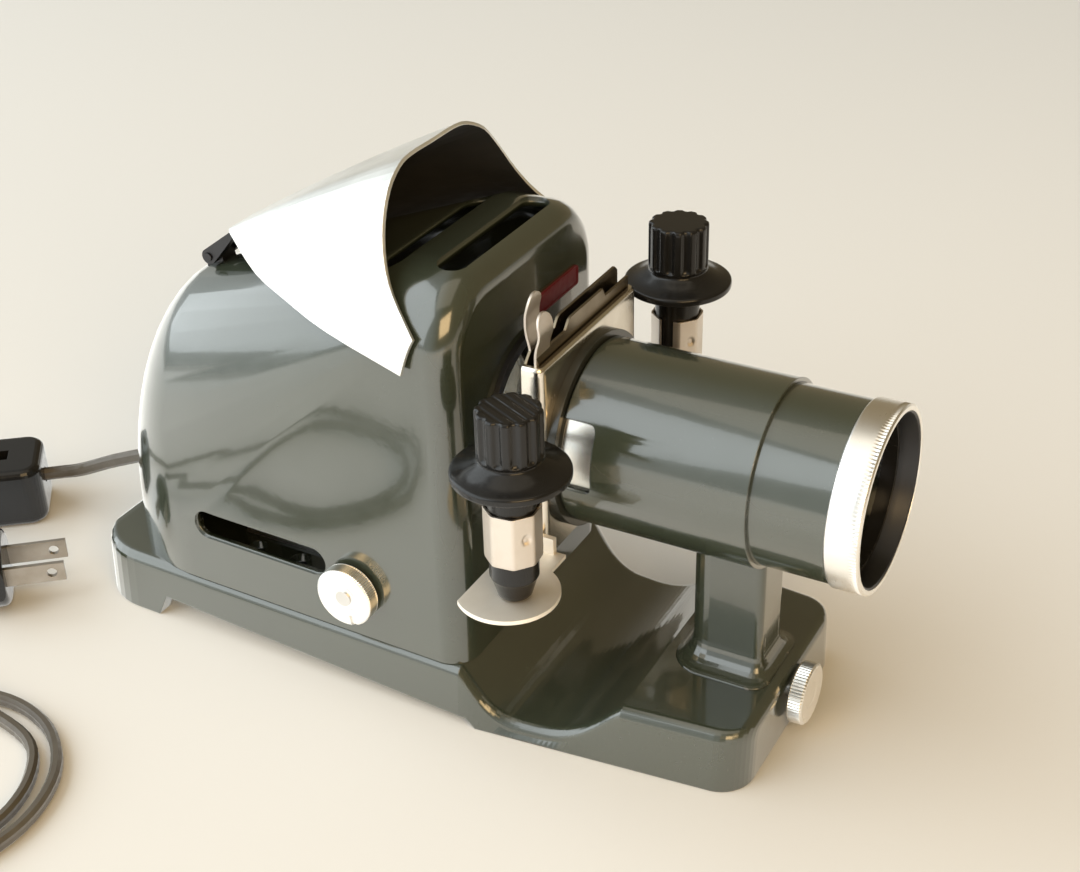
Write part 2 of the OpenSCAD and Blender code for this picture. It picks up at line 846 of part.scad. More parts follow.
// Lower guide of a spool: a plate with one straight edge and a hub below, held by a foot on the gate frame.
module guide(s) {
    z = guide_z(s) - guide_t;
    foot_h = 6;
    side = s < 0 ? -gate_half - tab_t : gate_half;
    difference() {
        union() {
            intersection() {
                translate([0, s * (spool_y - 0.8), z]) cylinder(r = 13.8, h = guide_t);
                translate([-9.4, s * spool_y - 30, z]) cube([60, 60, guide_t]);
            }
            translate([-5, s < 0 ? -spool_y : gate_half, z]) cube([11, spool_y - gate_half, guide_t]);
            translate([-3.2, side, z - (s < 0 ? 0 : foot_h - guide_t)]) cube([6.4, tab_t, foot_h]);
            at_spool(s, z - guide_hub_h) cylinder(r = 4.6, h = guide_hub_h + 0.1);
        }
        at_spool(s, z - 10) cylinder(r = shaft_r + pin_fit, h = 60);
    }
}

module near_guide() {
    color("#b8b4a8") guide(-1);
}

module far_guide() {
    color("#b8b4a8") guide(1);
}

// Fluted winding knob above a sloping flange with a thick rim; h is the height of the fluted part.
module winding_knob(s, h) {
    flutes = 12;
    flute_r = 1.35;
    rim_t = 2;
    rim_r = 0.7;
    neck_z = 5.4;
    knob_z = 6.4;
    top = knob_z + h;
    at_spool(s, flange_z(s)) difference() {
        rotate_extrude() polygon([
            [0, 0], [flange_r - rim_r, 0], [flange_r, rim_r],
            [flange_r, rim_t - rim_r], [flange_r - rim_r, rim_t], [knob_r - 0.5, neck_z],
            [knob_r, knob_z], [knob_r, top - 1.1], [knob_r - 0.3, top - 0.4], [knob_r - 1.1, top], [0, top]
        ]);
        for (i = [0:flutes - 1]) rotate([0, 0, 360 * i / flutes + 8])
            translate([knob_r + 0.7, 0, knob_z + 0.6]) cylinder(r = flute_r, h = 40, $fn = 32);
        translate([0, 0, -1]) cylinder(r = shaft_r, h = 10);
    }
}

module near_knob() {
    color("#1b1b1b") winding_knob(-1, knob_h);
}

module far_knob() {
    color("#1b1b1b") winding_knob(1, knob_h + 0.6);
}

module spool_core(s) {
    low = guide_z(s) + 0.3;
    top = flange_z(s) - low;
    at_spool(s, low) difference() {
        rotate_extrude() polygon([
            [0, 0], [3.8, 0], [4.6, 0.8], [core_r - 0.5, 5.6], [core_r, 6.6], [core_r, top], [0, top]
        ]);
        translate([0, 0, -1]) cylinder(r = shaft_r, h = 60);
    }
}

module near_core() {
    color("#1b1b1b") spool_core(-1);
}

module far_core() {
    color("#1b1b1b") spool_core(1);
}

clip_low = 12.5;
clip_h = 15.1;
clip_t = 1.2;

// Spring clip wrapped round the core, open on the side towards the gate, with a rivet head.
module spool_clip(s) {
    at_spool(s, guide_z(s) + clip_low) difference() {
        union() {
            cylinder(r = core_r + clip_t, h = clip_h);
            rotate([0, 0, -32]) translate([core_r, 0, clip_h * 0.58]) along_x()
                cylinder(r = 1.2, h = clip_t + 0.3, $fn = 32);
        }
        translate([0, 0, -1]) cylinder(r = core_r, h = clip_h + 2);
        translate([-1.8, s < 0 ? 0 : -12, -1]) cube([3.6, 12, clip_h + 2]);
    }
}

module near_clip() {
    color("#c8bfae") spool_clip(-1);
}

module far_clip() {
    color("#c8bfae") spool_clip(1);
}

module spool_shaft(s) {
    foot_h = 2.4;
    low = guide_z(s) - guide_t - guide_hub_h - foot_h - 0.2;
    at_spool(s, low) {
        cylinder(r = shaft_r, h = flange_z(s) + 8 - low);
        cylinder(r = 3.4, h = foot_h);
    }
}

module near_shaft() {
    color("#b9b9b2") spool_shaft(-1);
}

module far_shaft() {
    color("#b9b9b2") spool_shaft(1);
}

// ---------------------------------------------------------------- light shield

shield_front_x = -46.6;
shield_low_front = 110.6;
shield_rear_x = -113.7;
shield_rear_z = 120.3;
shield_crown = 1;
shield_slope = atan((shield_h - shield_rear_z) / (shield_front_x - shield_rear_x));

// One half of the shield's front edge, from the middle outwards and down: a flat crest, a rounded fold and a
// flared side.
front_edge = [
    [0, 0, 0], [0, 11, 0], [0.3, 17.5, -1.2], [1.4, 24.5, -5], [2.8, 30, -12],
    [5.4, 34.4, -20], [9.6, 38, -27], [18, shield_half - 3.4, shield_low_front - shield_h + 10]
];
// The edge it is ruled from: across the narrow rear end, then forwards along the roof of the lamp house.
rear_edge = [
    [0, 0, 0], [0, 5, 0], [0.4, 6.8, -0.2], [3.5, 9.2, -1.4], [17.5, 18.2, -5.6],
    [35, 29.2, -4.8], [57, 40.8, -4.6], [82, shield_half - 1.4, shield_low_front - shield_rear_z]
];

// Both halves of an edge as one smooth curve, from the near end through the middle to the far end.
function both_halves(half) =
    let (n = len(half), turned = [for (p = half) [p[0], -p[1], p[2]]])
    spline(concat(
        [2 * turned[n - 1] - turned[n - 2]],
        [for (i = [n - 1:-1:1]) turned[i]],
        half,
        [2 * half[n - 1] - half[n - 2]]
    ), 3);

front_curve = both_halves(front_edge);
rear_curve = both_halves(rear_edge);

// Point u of the way from the rear edge to the front edge, on the line between the curves' points j.
function shield_at(u, j) =
    let (
        rear = [shield_rear_x, 0, shield_rear_z] + rear_curve[j],
        front = [shield_front_x, 0, shield_h] + front_curve[j]
    )
    mix(rear, front, u) + [0, 0, shield_crown * 4 * u * (1 - u)];

// Direction out of the sheet there.
function shield_out(u, j) =
    unit(cross(
        shield_at(u + 0.02, j) - shield_at(u - 0.02, j),
        shield_at(u, min(len(front_curve) - 1, j + 1)) - shield_at(u, max(0, j - 1))
    ));

// Two triangles that fill the four-cornered panel a, b, c, d.
function panel(a, b, c, d) = [[a, b, c], [a, c, d]];

// Closed skin around a sheet given as rows of points on its outside and on its inside.
module sheet(outside, inside) {
    m = len(outside);
    n = len(outside[0]);
    half = m * n;
    points = concat([for (row = outside) each row], [for (row = inside) each row]);
    faces = concat(
        [for (i = [0:m - 2], j = [0:n - 2]) let (a = i * n + j) each panel(a, a + 1, a + n + 1, a + n)],
        [for (i = [0:m - 2], j = [0:n - 2]) let (a = half + i * n + j) each panel(a, a + n, a + n + 1, a + 1)],
        [for (j = [0:n - 2]) each panel(j, j + half, j + half + 1, j + 1)],
        [for (j = [0:n - 2]) let (a = half - n + j) each panel(a, a + 1, a + half + 1, a + half)],
        [for (i = [0:m - 2]) let (a = i * n) each panel(a, a + n, a + n + half, a + half)],
        [for (i = [0:m - 2]) let (a = i * n + n - 1) each panel(a, a + half, a + n + half, a + n)]
    );
    polyhedron(points = points, faces = faces, convexity = 6);
}

module light_shield() {
    steps = 8;
    rows = [for (i = [0:steps]) [for (j = [0:len(front_curve) - 1]) [i / steps, j]]];
    color("#e4e4e0") sheet(
        [for (row = rows) [for (g = row) shield_at(g[0], g[1])]],
        [for (row = rows) [for (g = row) shield_at(g[0], g[1]) - shield_t * shield_out(g[0], g[1])]]
    );
}

// Leaf from the hinge pin up to the rear of the shield and along under its crest, forked around the lug.
module shield_leaf() {
    strap_r = 0.8;
    under = (shield_t + strap_r + 0.03) / cos(shield_slope);
    knee = [shield_rear_x + 1, 0, shield_rear_z - under + tan(shield_slope)];
    end = knee + 12 * [1, 0, tan(shield_slope)];
    arm_w = leaf_half - lug_half - 0.15;
    color("#141414") difference() {
        union() {
            for (s = [-1, 1]) hull() {
                leaf_bar(pivot, s * (leaf_half - arm_w / 2), knuckle_r, arm_w);
                leaf_bar(knee, s * (leaf_half - arm_w / 2), strap_r, arm_w);
            }
            hull() {
                leaf_bar(mix(pivot, knee, 0.3), 0, strap_r, 2 * leaf_half);
                leaf_bar(knee, 0, strap_r, 2 * leaf_half);
            }
            hull() {
                leaf_bar(knee, 0, strap_r, 2 * leaf_half);
                leaf_bar(end, 0, strap_r, 2 * leaf_half);
            }
        }
        leaf_bar(pivot, 0, shield_pin_r + pin_fit, 30);
    }
}

// Round bar along Y, w long and centred at y beside point p.
module leaf_bar(p, y, r, w) {
    translate([p[0], y, p[2]]) along_y() cylinder(r = r, h = w, center = true, $fn = 32);
}

// Lug on the rear of the roof that holds the hinge pin.
module shield_hinge() {
    color("#141414") difference() {
        hull() {
            leaf_bar(pivot, 0, knuckle_r, 2 * lug_half);
            translate([pivot[0] - 4, -lug_half, pivot[2] - 9]) cube([8, 2 * lug_half, 1]);
        }
        translate(pivot) along_y() cylinder(r = shield_pin_r, h = 30, center = true);
        house_form(0, deck_h);
    }
}

module shield_pin() {
    color("#b9b9b2") translate(pivot) along_y()
        cylinder(r = shield_pin_r, h = 2 * leaf_half + 1, center = true);
}

base_casting();
base_cover();
cover_screws();
house_screws();
stand_screws();
lamp_house();
label_plate();
cord_grommet();
power_cord();
cord_switch();
switch_button();
plug_body();
plug_blades();
side_knob();
side_stud();
condenser_tube();
condenser_front_lens();
condenser_rear_lens();
heat_glass();
condenser_ring();
reflector();
reflector_bracket();
lamp_tray();
lamp_socket();
lamp_base();
lamp_glass();
lens_stand();
tilt_leg();
tilt_foot();
tilt_stud();
tilt_knob();
lens_barrel();
lens_ring();
lens_retainer();
front_lens();
middle_lens();
rear_lens();
head_hub();
gate_frame();
near_guide();
far_guide();
front_pressure_plate();
front_glass();
rear_pressure_plate();
rear_glass();
gate_pin();
near_knob();
near_core();
near_clip();
near_shaft();
far_knob();
far_core();
far_clip();
far_shaft();
light_shield();
shield_leaf();
shield_hinge();
shield_pin();
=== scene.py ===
"""Looks for a small cast slide projector: materials, turned and pressed pieces, floor, light and camera.

Lengths in the mesh code are in mm, and node materials work in metres."""

import math

import bmesh
import bpy
from mathutils import Matrix, Vector
from mathutils.geometry import tessellate_polygon

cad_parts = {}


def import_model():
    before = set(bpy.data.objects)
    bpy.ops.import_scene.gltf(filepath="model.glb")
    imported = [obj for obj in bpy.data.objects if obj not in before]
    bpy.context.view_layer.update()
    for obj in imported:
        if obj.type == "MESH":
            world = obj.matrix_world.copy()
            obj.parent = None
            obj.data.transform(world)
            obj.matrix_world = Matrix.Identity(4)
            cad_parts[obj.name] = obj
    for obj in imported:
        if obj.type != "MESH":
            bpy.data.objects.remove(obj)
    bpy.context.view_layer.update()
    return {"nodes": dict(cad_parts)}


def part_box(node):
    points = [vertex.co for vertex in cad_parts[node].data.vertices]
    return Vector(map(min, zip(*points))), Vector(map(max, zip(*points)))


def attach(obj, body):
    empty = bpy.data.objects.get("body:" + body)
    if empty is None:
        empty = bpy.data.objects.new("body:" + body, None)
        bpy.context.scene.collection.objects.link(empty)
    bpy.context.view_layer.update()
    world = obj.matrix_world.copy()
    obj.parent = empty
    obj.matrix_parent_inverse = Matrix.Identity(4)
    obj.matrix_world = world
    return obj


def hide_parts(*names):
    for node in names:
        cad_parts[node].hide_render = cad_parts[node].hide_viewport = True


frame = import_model()
NODES = frame["nodes"]
MM = 0.001
TAU = 2 * math.pi
UP = (0, 0, 1)


# ---------------------------------------------------------------- node materials


class Tree:
    """A node tree being built."""

    def __init__(self, tree):
        self.tree = tree

    def put(self, value, socket):
        """Links value to the socket if it is an output, and sets the socket to it if it isn't."""
        if isinstance(value, bpy.types.NodeSocket):
            self.tree.links.new(value, socket)
        else:
            socket.default_value = value

    def add(self, kind, settings=None, **inputs):
        """Makes a node. A keyword names an input, with _ for a space, or numbers it, as in _0."""
        node = self.tree.nodes.new("ShaderNode" + kind)
        for key, value in (settings or {}).items():
            setattr(node, key, value)
        for key, value in inputs.items():
            by_number = key[0] == "_"
            self.put(value, node.inputs[int(key[1:]) if by_number else key.replace("_", " ")])
        return node

    def range(self, value, low, high, to_low=0.0, to_high=1.0):
        """Maps low..high to to_low..to_high and holds there beyond them."""
        return self.add("MapRange", _0=value, _1=low, _2=high, _3=to_low, _4=to_high).outputs[0]

    def mix(self, factor, a, b):
        """Colour a at factor 0, b at factor 1."""
        a, b = (rgb(*colour) if isinstance(colour, tuple) else colour for colour in (a, b))
        return self.add("Mix", {"data_type": "RGBA"}, _0=factor, _6=a, _7=b).outputs[2]

    def math(self, operation, a, b):
        return self.add("Math", {"operation": operation}, _0=a, _1=b).outputs[0]

    def vector(self, operation, a, b, output="Value"):
        return self.add("VectorMath", {"operation": operation}, _0=a, _1=b).outputs[output]


class Shader(Tree):
    """A node material being built."""

    def __init__(self, name):
        self.material = bpy.data.materials.new(name)
        self.material.use_nodes = True
        super().__init__(self.material.node_tree)
        self.tree.nodes.clear()
        self.out = self.tree.nodes.new("ShaderNodeOutputMaterial")

    def place(self):
        """Where a point is on its object, in metres."""
        return self.add("TexCoord").outputs["Object"]

    def noise(self, size, detail, scale=(1, 1, 1)):
        """Noise whose lumps are about size metres across, drawn out along an axis whose scale is below 1."""
        place = self.add("Mapping", Vector=self.place(), Scale=scale).outputs["Vector"]
        return self.add("TexNoise", Vector=place, Scale=1 / size, Detail=detail).outputs["Fac"]

    def bump(self, height, depth, strength, normal=None):
        """Normal of a surface whose height, 0 to 1, stands depth metres high."""
        inputs = {"Height": height, "Distance": depth, "Strength": strength}
        if normal is not None:
            inputs["Normal"] = normal
        return self.add("Bump", **inputs).outputs["Normal"]

    def soft_edges(self, radius):
        """Normal that rounds off edges by radius."""
        return self.add("Bevel", {"samples": 4}, Radius=radius).outputs["Normal"]

    def worn_edges(self, radius):
        """1 on sharp outside edges, 0 on flats."""
        bent = self.soft_edges(radius)
        flat = self.add("NewGeometry").outputs["Normal"]
        return self.range(self.vector("DOT_PRODUCT", bent, flat), 0.985, 0.85)

    def principled(self, **inputs):
        """Ends the material with a principled surface and returns it."""
        node = self.add("BsdfPrincipled", **inputs)
        self.tree.links.new(node.outputs[0], self.out.inputs["Surface"])
        return self.material


def rgb(r, g, b):
    return (r, g, b, 1)


def scaled(tint, *by):
    """The tint times one number, or times one number for each of red, green and blue."""
    return tuple(c * k for c, k in zip(tint, by if len(by) == 3 else by * 3))


def enamel():
    """Glossy baked enamel on a casting: orange peel, slow waviness, dust, and thin places on edges."""
    dark_green, light_green = (0.028, 0.034, 0.022), (0.040, 0.047, 0.032)
    primer = (0.15, 0.14, 0.12)
    grey_dust = (0.10, 0.10, 0.09)
    s = Shader("enamel")
    base = s.mix(s.noise(35 * MM, 2), dark_green, light_green)
    thin = s.math("MULTIPLY", s.worn_edges(0.6 * MM), s.range(s.noise(3.1 * MM, 4), 0.62, 0.70))
    base = s.mix(thin, base, primer)
    dust = s.range(s.noise(0.8 * MM, 4), 0.66, 0.76, 0, 0.2)
    base = s.mix(dust, base, grey_dust)
    rough = s.range(s.noise(12 * MM, 5), 0.3, 0.75, 0.14, 0.24)
    orange_peel = s.bump(s.noise(2.2 * MM, 2), 0.03 * MM, 0.3, s.soft_edges(0.5 * MM))
    skin = s.bump(s.noise(22 * MM, 1), 0.25 * MM, 0.35, orange_peel)
    return s.principled(
        Base_Color=base, Roughness=rough, IOR=1.6, Normal=skin,
        Coat_Weight=0.9, Coat_Roughness=0.06, Coat_Normal=skin
    )


def bakelite(name, tint, gloss):
    """Moulded phenolic: dark flow marks, uneven gloss and greyed edges."""
    rubbed_grey = (0.06, 0.057, 0.053)
    s = Shader(name)
    flow = s.noise(6 * MM, 4, (1, 1, 0.35))
    base = s.mix(flow, scaled(tint, 0.7), tint)
    rub = s.math("MULTIPLY", s.worn_edges(0.2 * MM), s.range(s.noise(1.2 * MM, 3), 0.45, 0.7))
    base = s.mix(rub, base, rubbed_grey)
    rough = s.range(s.noise(1.5 * MM, 5), 0.3, 0.7, gloss, gloss + 0.12)
    skin = s.bump(s.noise(1.6 * MM, 2), 0.01 * MM, 0.2, s.soft_edges(0.2 * MM))
    return s.principled(Base_Color=base, Roughness=rough, IOR=1.5, Specular_IOR_Level=0.28, Normal=skin)


def metal(name, tint, rough, grain=(1, 1, 1), tarnish=0.25, edge=0.25, hair_depth=0.004):
    """Plated or bare metal: hair-fine grain, slow tarnish clouds and a few pits. The grain runs along the axes
    whose grain number is below 1. Its depth is hair_depth, and edges are softened by the radius edge."""
    pit_brown = (0.20, 0.16, 0.12)
    s = Shader(name)
    clouds = s.range(s.noise(9 * MM, 4), 0.40, 0.75, 0, tarnish)
    base = s.mix(clouds, tint, scaled(tint, 0.62, 0.55, 0.46))
    pits = s.range(s.noise(0.9 * MM, 2), 0.76, 0.82, 0, tarnish)
    base = s.mix(pits, base, pit_brown)
    hair = s.noise(0.16 * MM, 2, grain)
    streaks = s.range(hair, 0.3, 0.7, -0.03, 0.03)
    roughness = s.math("ADD", streaks, s.range(clouds, 0, 1, rough, rough + 0.15))
    skin = s.bump(hair, hair_depth * MM, 0.35, s.soft_edges(edge * MM))
    return s.principled(Base_Color=base, Metallic=1.0, Roughness=roughness, Normal=skin)


def turned(name, grain):
    """Bright turned aluminium: crisp edges, little tarnish and a very shallow grain."""
    return metal(name, (0.82, 0.80, 0.76), 0.30, grain, tarnish=0.12, edge=0.06, hair_depth=0.0008)


def hub_metal():
    """Plated inside the lens tube, black on the flange between tube and gate."""
    flange_black = (0.022, 0.023, 0.019)
    nickel, tarnished = (0.70, 0.68, 0.63), (0.45, 0.36, 0.24)
    s = Shader("hub_metal")
    along = s.add("SeparateXYZ", Vector=s.place()).outputs["X"]
    plated = s.range(along, TUBE_BACK - 0.1 * MM, TUBE_BACK + 0.1 * MM)
    clouds = s.range(s.noise(8 * MM, 4), 0.4, 0.75, 0, 0.4)
    base = s.mix(plated, flange_black, s.mix(clouds, nickel, tarnished))
    skin = s.bump(s.noise(0.3 * MM, 2), 0.004 * MM, 0.3, s.soft_edges(0.3 * MM))
    return s.principled(Base_Color=base, Metallic=plated, Roughness=0.25, Normal=skin)


def hood_sheet():
    """Satin aluminium outside with slow dents, brushed-on matt black inside. A face is on the outside if it
    looks away from the line that runs along the hood's middle."""
    clean, hazed, speck = (0.80, 0.80, 0.77), (0.62, 0.62, 0.59), (0.35, 0.34, 0.31)
    thick_paint, thin_paint = (0.010, 0.010, 0.010), (0.024, 0.023, 0.022)
    s = Shader("hood_sheet")
    across = s.vector("MULTIPLY", s.place(), (0, 1, 1), "Vector")
    outward = s.vector("SUBTRACT", across, (0, 0, HOOD_MIDDLE_Z), "Vector")
    facing = s.add("NewGeometry").outputs["True Normal"]
    black = s.range(s.vector("DOT_PRODUCT", outward, facing), 0.5 * MM, -0.5 * MM)
    bright = s.mix(s.range(s.noise(20 * MM, 4), 0.4, 0.75), clean, hazed)
    specks = s.range(s.noise(1.4 * MM, 3), 0.70, 0.78, 0, 0.5)
    bright = s.mix(specks, bright, speck)
    paint = s.mix(s.noise(4 * MM, 4, (0.2, 1, 1)), thick_paint, thin_paint)
    dents = s.bump(s.noise(30 * MM, 1), 0.9 * MM, 0.30, s.soft_edges(0.4 * MM))
    skin = s.bump(s.noise(0.2 * MM, 2, (0.06, 1, 1)), 0.004 * MM, 0.3, dents)
    return s.principled(
        Base_Color=s.mix(black, bright, paint), Metallic=s.range(black, 0, 1, 0.85, 0.0),
        Roughness=s.range(black, 0, 1, 0.34, 0.55), Normal=skin
    )


def lens_glass(name, tint, shine):
    """Coated glass with a little dust. shine is how strongly its surface and bluish coating reflect."""
    s = Shader(name)
    dust = s.range(s.noise(2.2 * MM, 6), 0.55, 0.8, 0.0, 0.12)
    skin = s.bump(s.noise(6 * MM, 1), 0.02 * MM, 0.2)
    return s.principled(
        Base_Color=rgb(*tint), Roughness=dust, IOR=1.52, Transmission_Weight=1.0, Normal=skin,
        Specular_IOR_Level=shine, Coat_Weight=shine, Coat_Roughness=0.02, Coat_Tint=rgb(0.75, 0.82, 1.0)
    )


def lacquer(name, tint):
    """Thin dull lacquer on a sheet plate, a little patchy along the plate."""
    s = Shader(name)
    base = s.mix(s.noise(5 * MM, 4, (1, 0.3, 1)), scaled(tint, 0.75), tint)
    rough = s.range(s.noise(2 * MM, 4), 0.3, 0.7, 0.45, 0.6)
    return s.principled(Base_Color=base, Roughness=rough, Specular_IOR_Level=0.25)


def cord_skin():
    """Brown moulded flex with a dull bloom."""
    brown, bloomed = (0.052, 0.040, 0.029), (0.105, 0.092, 0.068)
    s = Shader("cord_skin")
    base = s.mix(s.noise(9 * MM, 4), brown, bloomed)
    rough = s.range(s.noise(1.5 * MM, 4), 0.3, 0.7, 0.34, 0.52)
    skin = s.bump(s.noise(0.6 * MM, 3), 0.03 * MM, 0.5)
    return s.principled(Base_Color=base, Roughness=rough, Normal=skin)


def rubber():
    s = Shader("rubber")
    base = s.mix(s.noise(4 * MM, 4), (0.012, 0.012, 0.012), (0.028, 0.027, 0.026))
    skin = s.bump(s.noise(0.4 * MM, 4), 0.04 * MM, 0.6)
    return s.principled(Base_Color=base, Roughness=0.62, Normal=skin)


def porcelain():
    s = Shader("porcelain")
    base = s.mix(s.noise(6 * MM, 3), (0.62, 0.57, 0.47), (0.74, 0.70, 0.62))
    skin = s.bump(s.noise(1.5 * MM, 3), 0.03 * MM, 0.4, s.soft_edges(0.4 * MM))
    return s.principled(Base_Color=base, Roughness=0.3, Normal=skin)


def cloth_floor():
    """Plain pale cloth: an all but invisible weave and very slow, shallow folds. The camera sees it toned
    down, so that the bright hood stands out against it. Other rays see it paler, with a soft glow on the
    window's side."""
    seen_dark, seen_light = (0.68, 0.666, 0.640), (0.72, 0.706, 0.680)
    unseen = (0.92, 0.90, 0.87)
    window_side = (-0.6, -0.8, 0)
    s = Shader("pale_cloth")
    warp, weft = (
        s.add(
            "TexWave", {"bands_direction": axis}, Vector=s.place(), Scale=THREADS, Distortion=0.6
        ).outputs["Fac"]
        for axis in "XY"
    )
    camera_ray = s.add("LightPath").outputs["Is Camera Ray"]
    base = s.mix(camera_ray, unseen, s.mix(s.noise(0.15, 2), seen_dark, seen_light))
    folds = s.bump(s.noise(0.25, 2), 4 * MM, 0.3)
    skin = s.bump(s.math("MULTIPLY", warp, weft), 0.1 * MM, 0.06, folds)
    # Painted light: rays other than the camera's see the floor glow, brighter towards the window's side, though
    # the floor is no lamp.
    lit = s.vector("DOT_PRODUCT", s.add("NewGeometry").outputs["Position"], window_side)
    glow = s.math("MULTIPLY", s.math("SUBTRACT", 1.0, camera_ray), s.range(lit, -0.08, 0.16, 0, 0.75))
    return s.principled(
        Base_Color=base, Roughness=0.95, Normal=skin,
        Emission_Color=rgb(0.90, 0.96, 1.0), Emission_Strength=glow
    )


# Height of the line along the hood's middle, where the lens tube starts, and the fineness of the floor's weave.
HOOD_MIDDLE_Z = 100 * MM
TUBE_BACK = 3 * MM
THREADS = 900.0

ENAMEL = enamel()
BLACK = bakelite("bakelite_black", (0.012, 0.0115, 0.011), 0.12)
BROWN = bakelite("bakelite_brown", (0.035, 0.022, 0.016), 0.26)
NICKEL = metal("nickel", (0.64, 0.60, 0.53), 0.22, (1, 1, 0.08), 0.3)
SATIN = metal("satin_nickel", (0.58, 0.52, 0.455), 0.42, (1, 1, 0.1), 0.25)
FROSTED = metal("frosted_nickel", (0.86, 0.81, 0.73), 0.62, (1, 1, 1), 0.15)
HUB = hub_metal()
BRONZED = metal("bronzed_sheet", (0.20, 0.165, 0.115), 0.30, (1, 0.1, 1), 0.6)
STEEL = metal("steel", (0.60, 0.59, 0.57), 0.34, (1, 1, 0.15), 0.3)
ZINC = metal("zinc_sheet", (0.55, 0.55, 0.53), 0.45, (0.3, 1, 1), 0.3)
TURNED = turned("turned_aluminium", (1, 0.04, 0.04))
TURNED_ACROSS = turned("turned_aluminium_across", (0.04, 1, 0.04))
BRASS = metal("dull_brass", (0.42, 0.33, 0.22), 0.42, (1, 1, 0.3), 0.7)
DULL_PLATE = metal("dull_plating", (0.33, 0.30, 0.26), 0.45, (1, 1, 0.3), 0.5)
MIRROR = metal("mirror", (0.92, 0.92, 0.90), 0.06, (1, 1, 1), 0.05)
BLACKED = metal("blacked_steel", (0.05, 0.05, 0.052), 0.40, (1, 0.2, 1), 0.2)
HOOD = hood_sheet()
GLASS = lens_glass("lens_glass", (0.97, 0.985, 0.98), 0.5)
DIM_GLASS = lens_glass("condenser_glass", (0.25, 0.26, 0.24), 0.1)
HEAT_GLASS = lens_glass("heat_glass", (0.80, 0.93, 0.86), 0.4)
MAROON = lacquer("maroon_lacquer", (0.13, 0.009, 0.015))
CORD = cord_skin()
RUBBER = rubber()
PORCELAIN = porcelain()

LOOKS = {
    ENAMEL: ("base_casting", "lamp_house", "lens_stand", "lens_barrel"),
    ZINC: ("base_cover", "lamp_tray", "reflector_bracket"),
    STEEL: (
        "cover_screws", "house_screws", "stand_screws", "side_stud", "tilt_stud", "tilt_leg",
        "gate_pin", "near_shaft", "far_shaft",
    ),
    NICKEL: ("gate_frame",),
    SATIN: ("near_clip", "far_clip"),
    FROSTED: ("near_guide", "far_guide"),
    HUB: ("head_hub",),
    BRONZED: ("front_pressure_plate", "rear_pressure_plate"),
    TURNED: ("lens_ring", "tilt_knob"),
    TURNED_ACROSS: ("side_knob",),
    HOOD: ("light_shield",),
    BLACK: ("near_knob", "far_knob", "near_core", "far_core", "plug_body", "cord_switch", "lens_retainer"),
    BROWN: ("switch_button",),
    BLACKED: ("shield_leaf", "shield_hinge", "shield_pin", "condenser_tube", "condenser_ring"),
    BRASS: ("lamp_base",),
    DULL_PLATE: ("plug_blades",),
    MIRROR: ("reflector",),
    GLASS: ("lamp_glass", "front_lens", "middle_lens", "rear_lens", "front_glass", "rear_glass"),
    DIM_GLASS: ("condenser_front_lens", "condenser_rear_lens"),
    HEAT_GLASS: ("heat_glass",),
    MAROON: ("label_plate",),
    CORD: ("power_cord",),
    RUBBER: ("cord_grommet", "tilt_foot"),
    PORCELAIN: ("lamp_socket",),
}


def dress(node, material):
    """One material all over. Near-coincident points are welded and flat faces shade flat."""
    mesh = node.data
    mesh.materials.clear()
    mesh.materials.append(material)
    weld = node.modifiers.new("weld", "WELD")
    weld.merge_threshold = 0.004 * MM
    normals = node.modifiers.new("normals", "WEIGHTED_NORMAL")
    normals.keep_sharp = True
    normals.weight = 60


for look, names in LOOKS.items():
    for name in names:
        dress(NODES[name], look)
for name, node in NODES.items():
    assert node.data.materials, f"{name} has no look"


# ---------------------------------------------------------------- mesh building


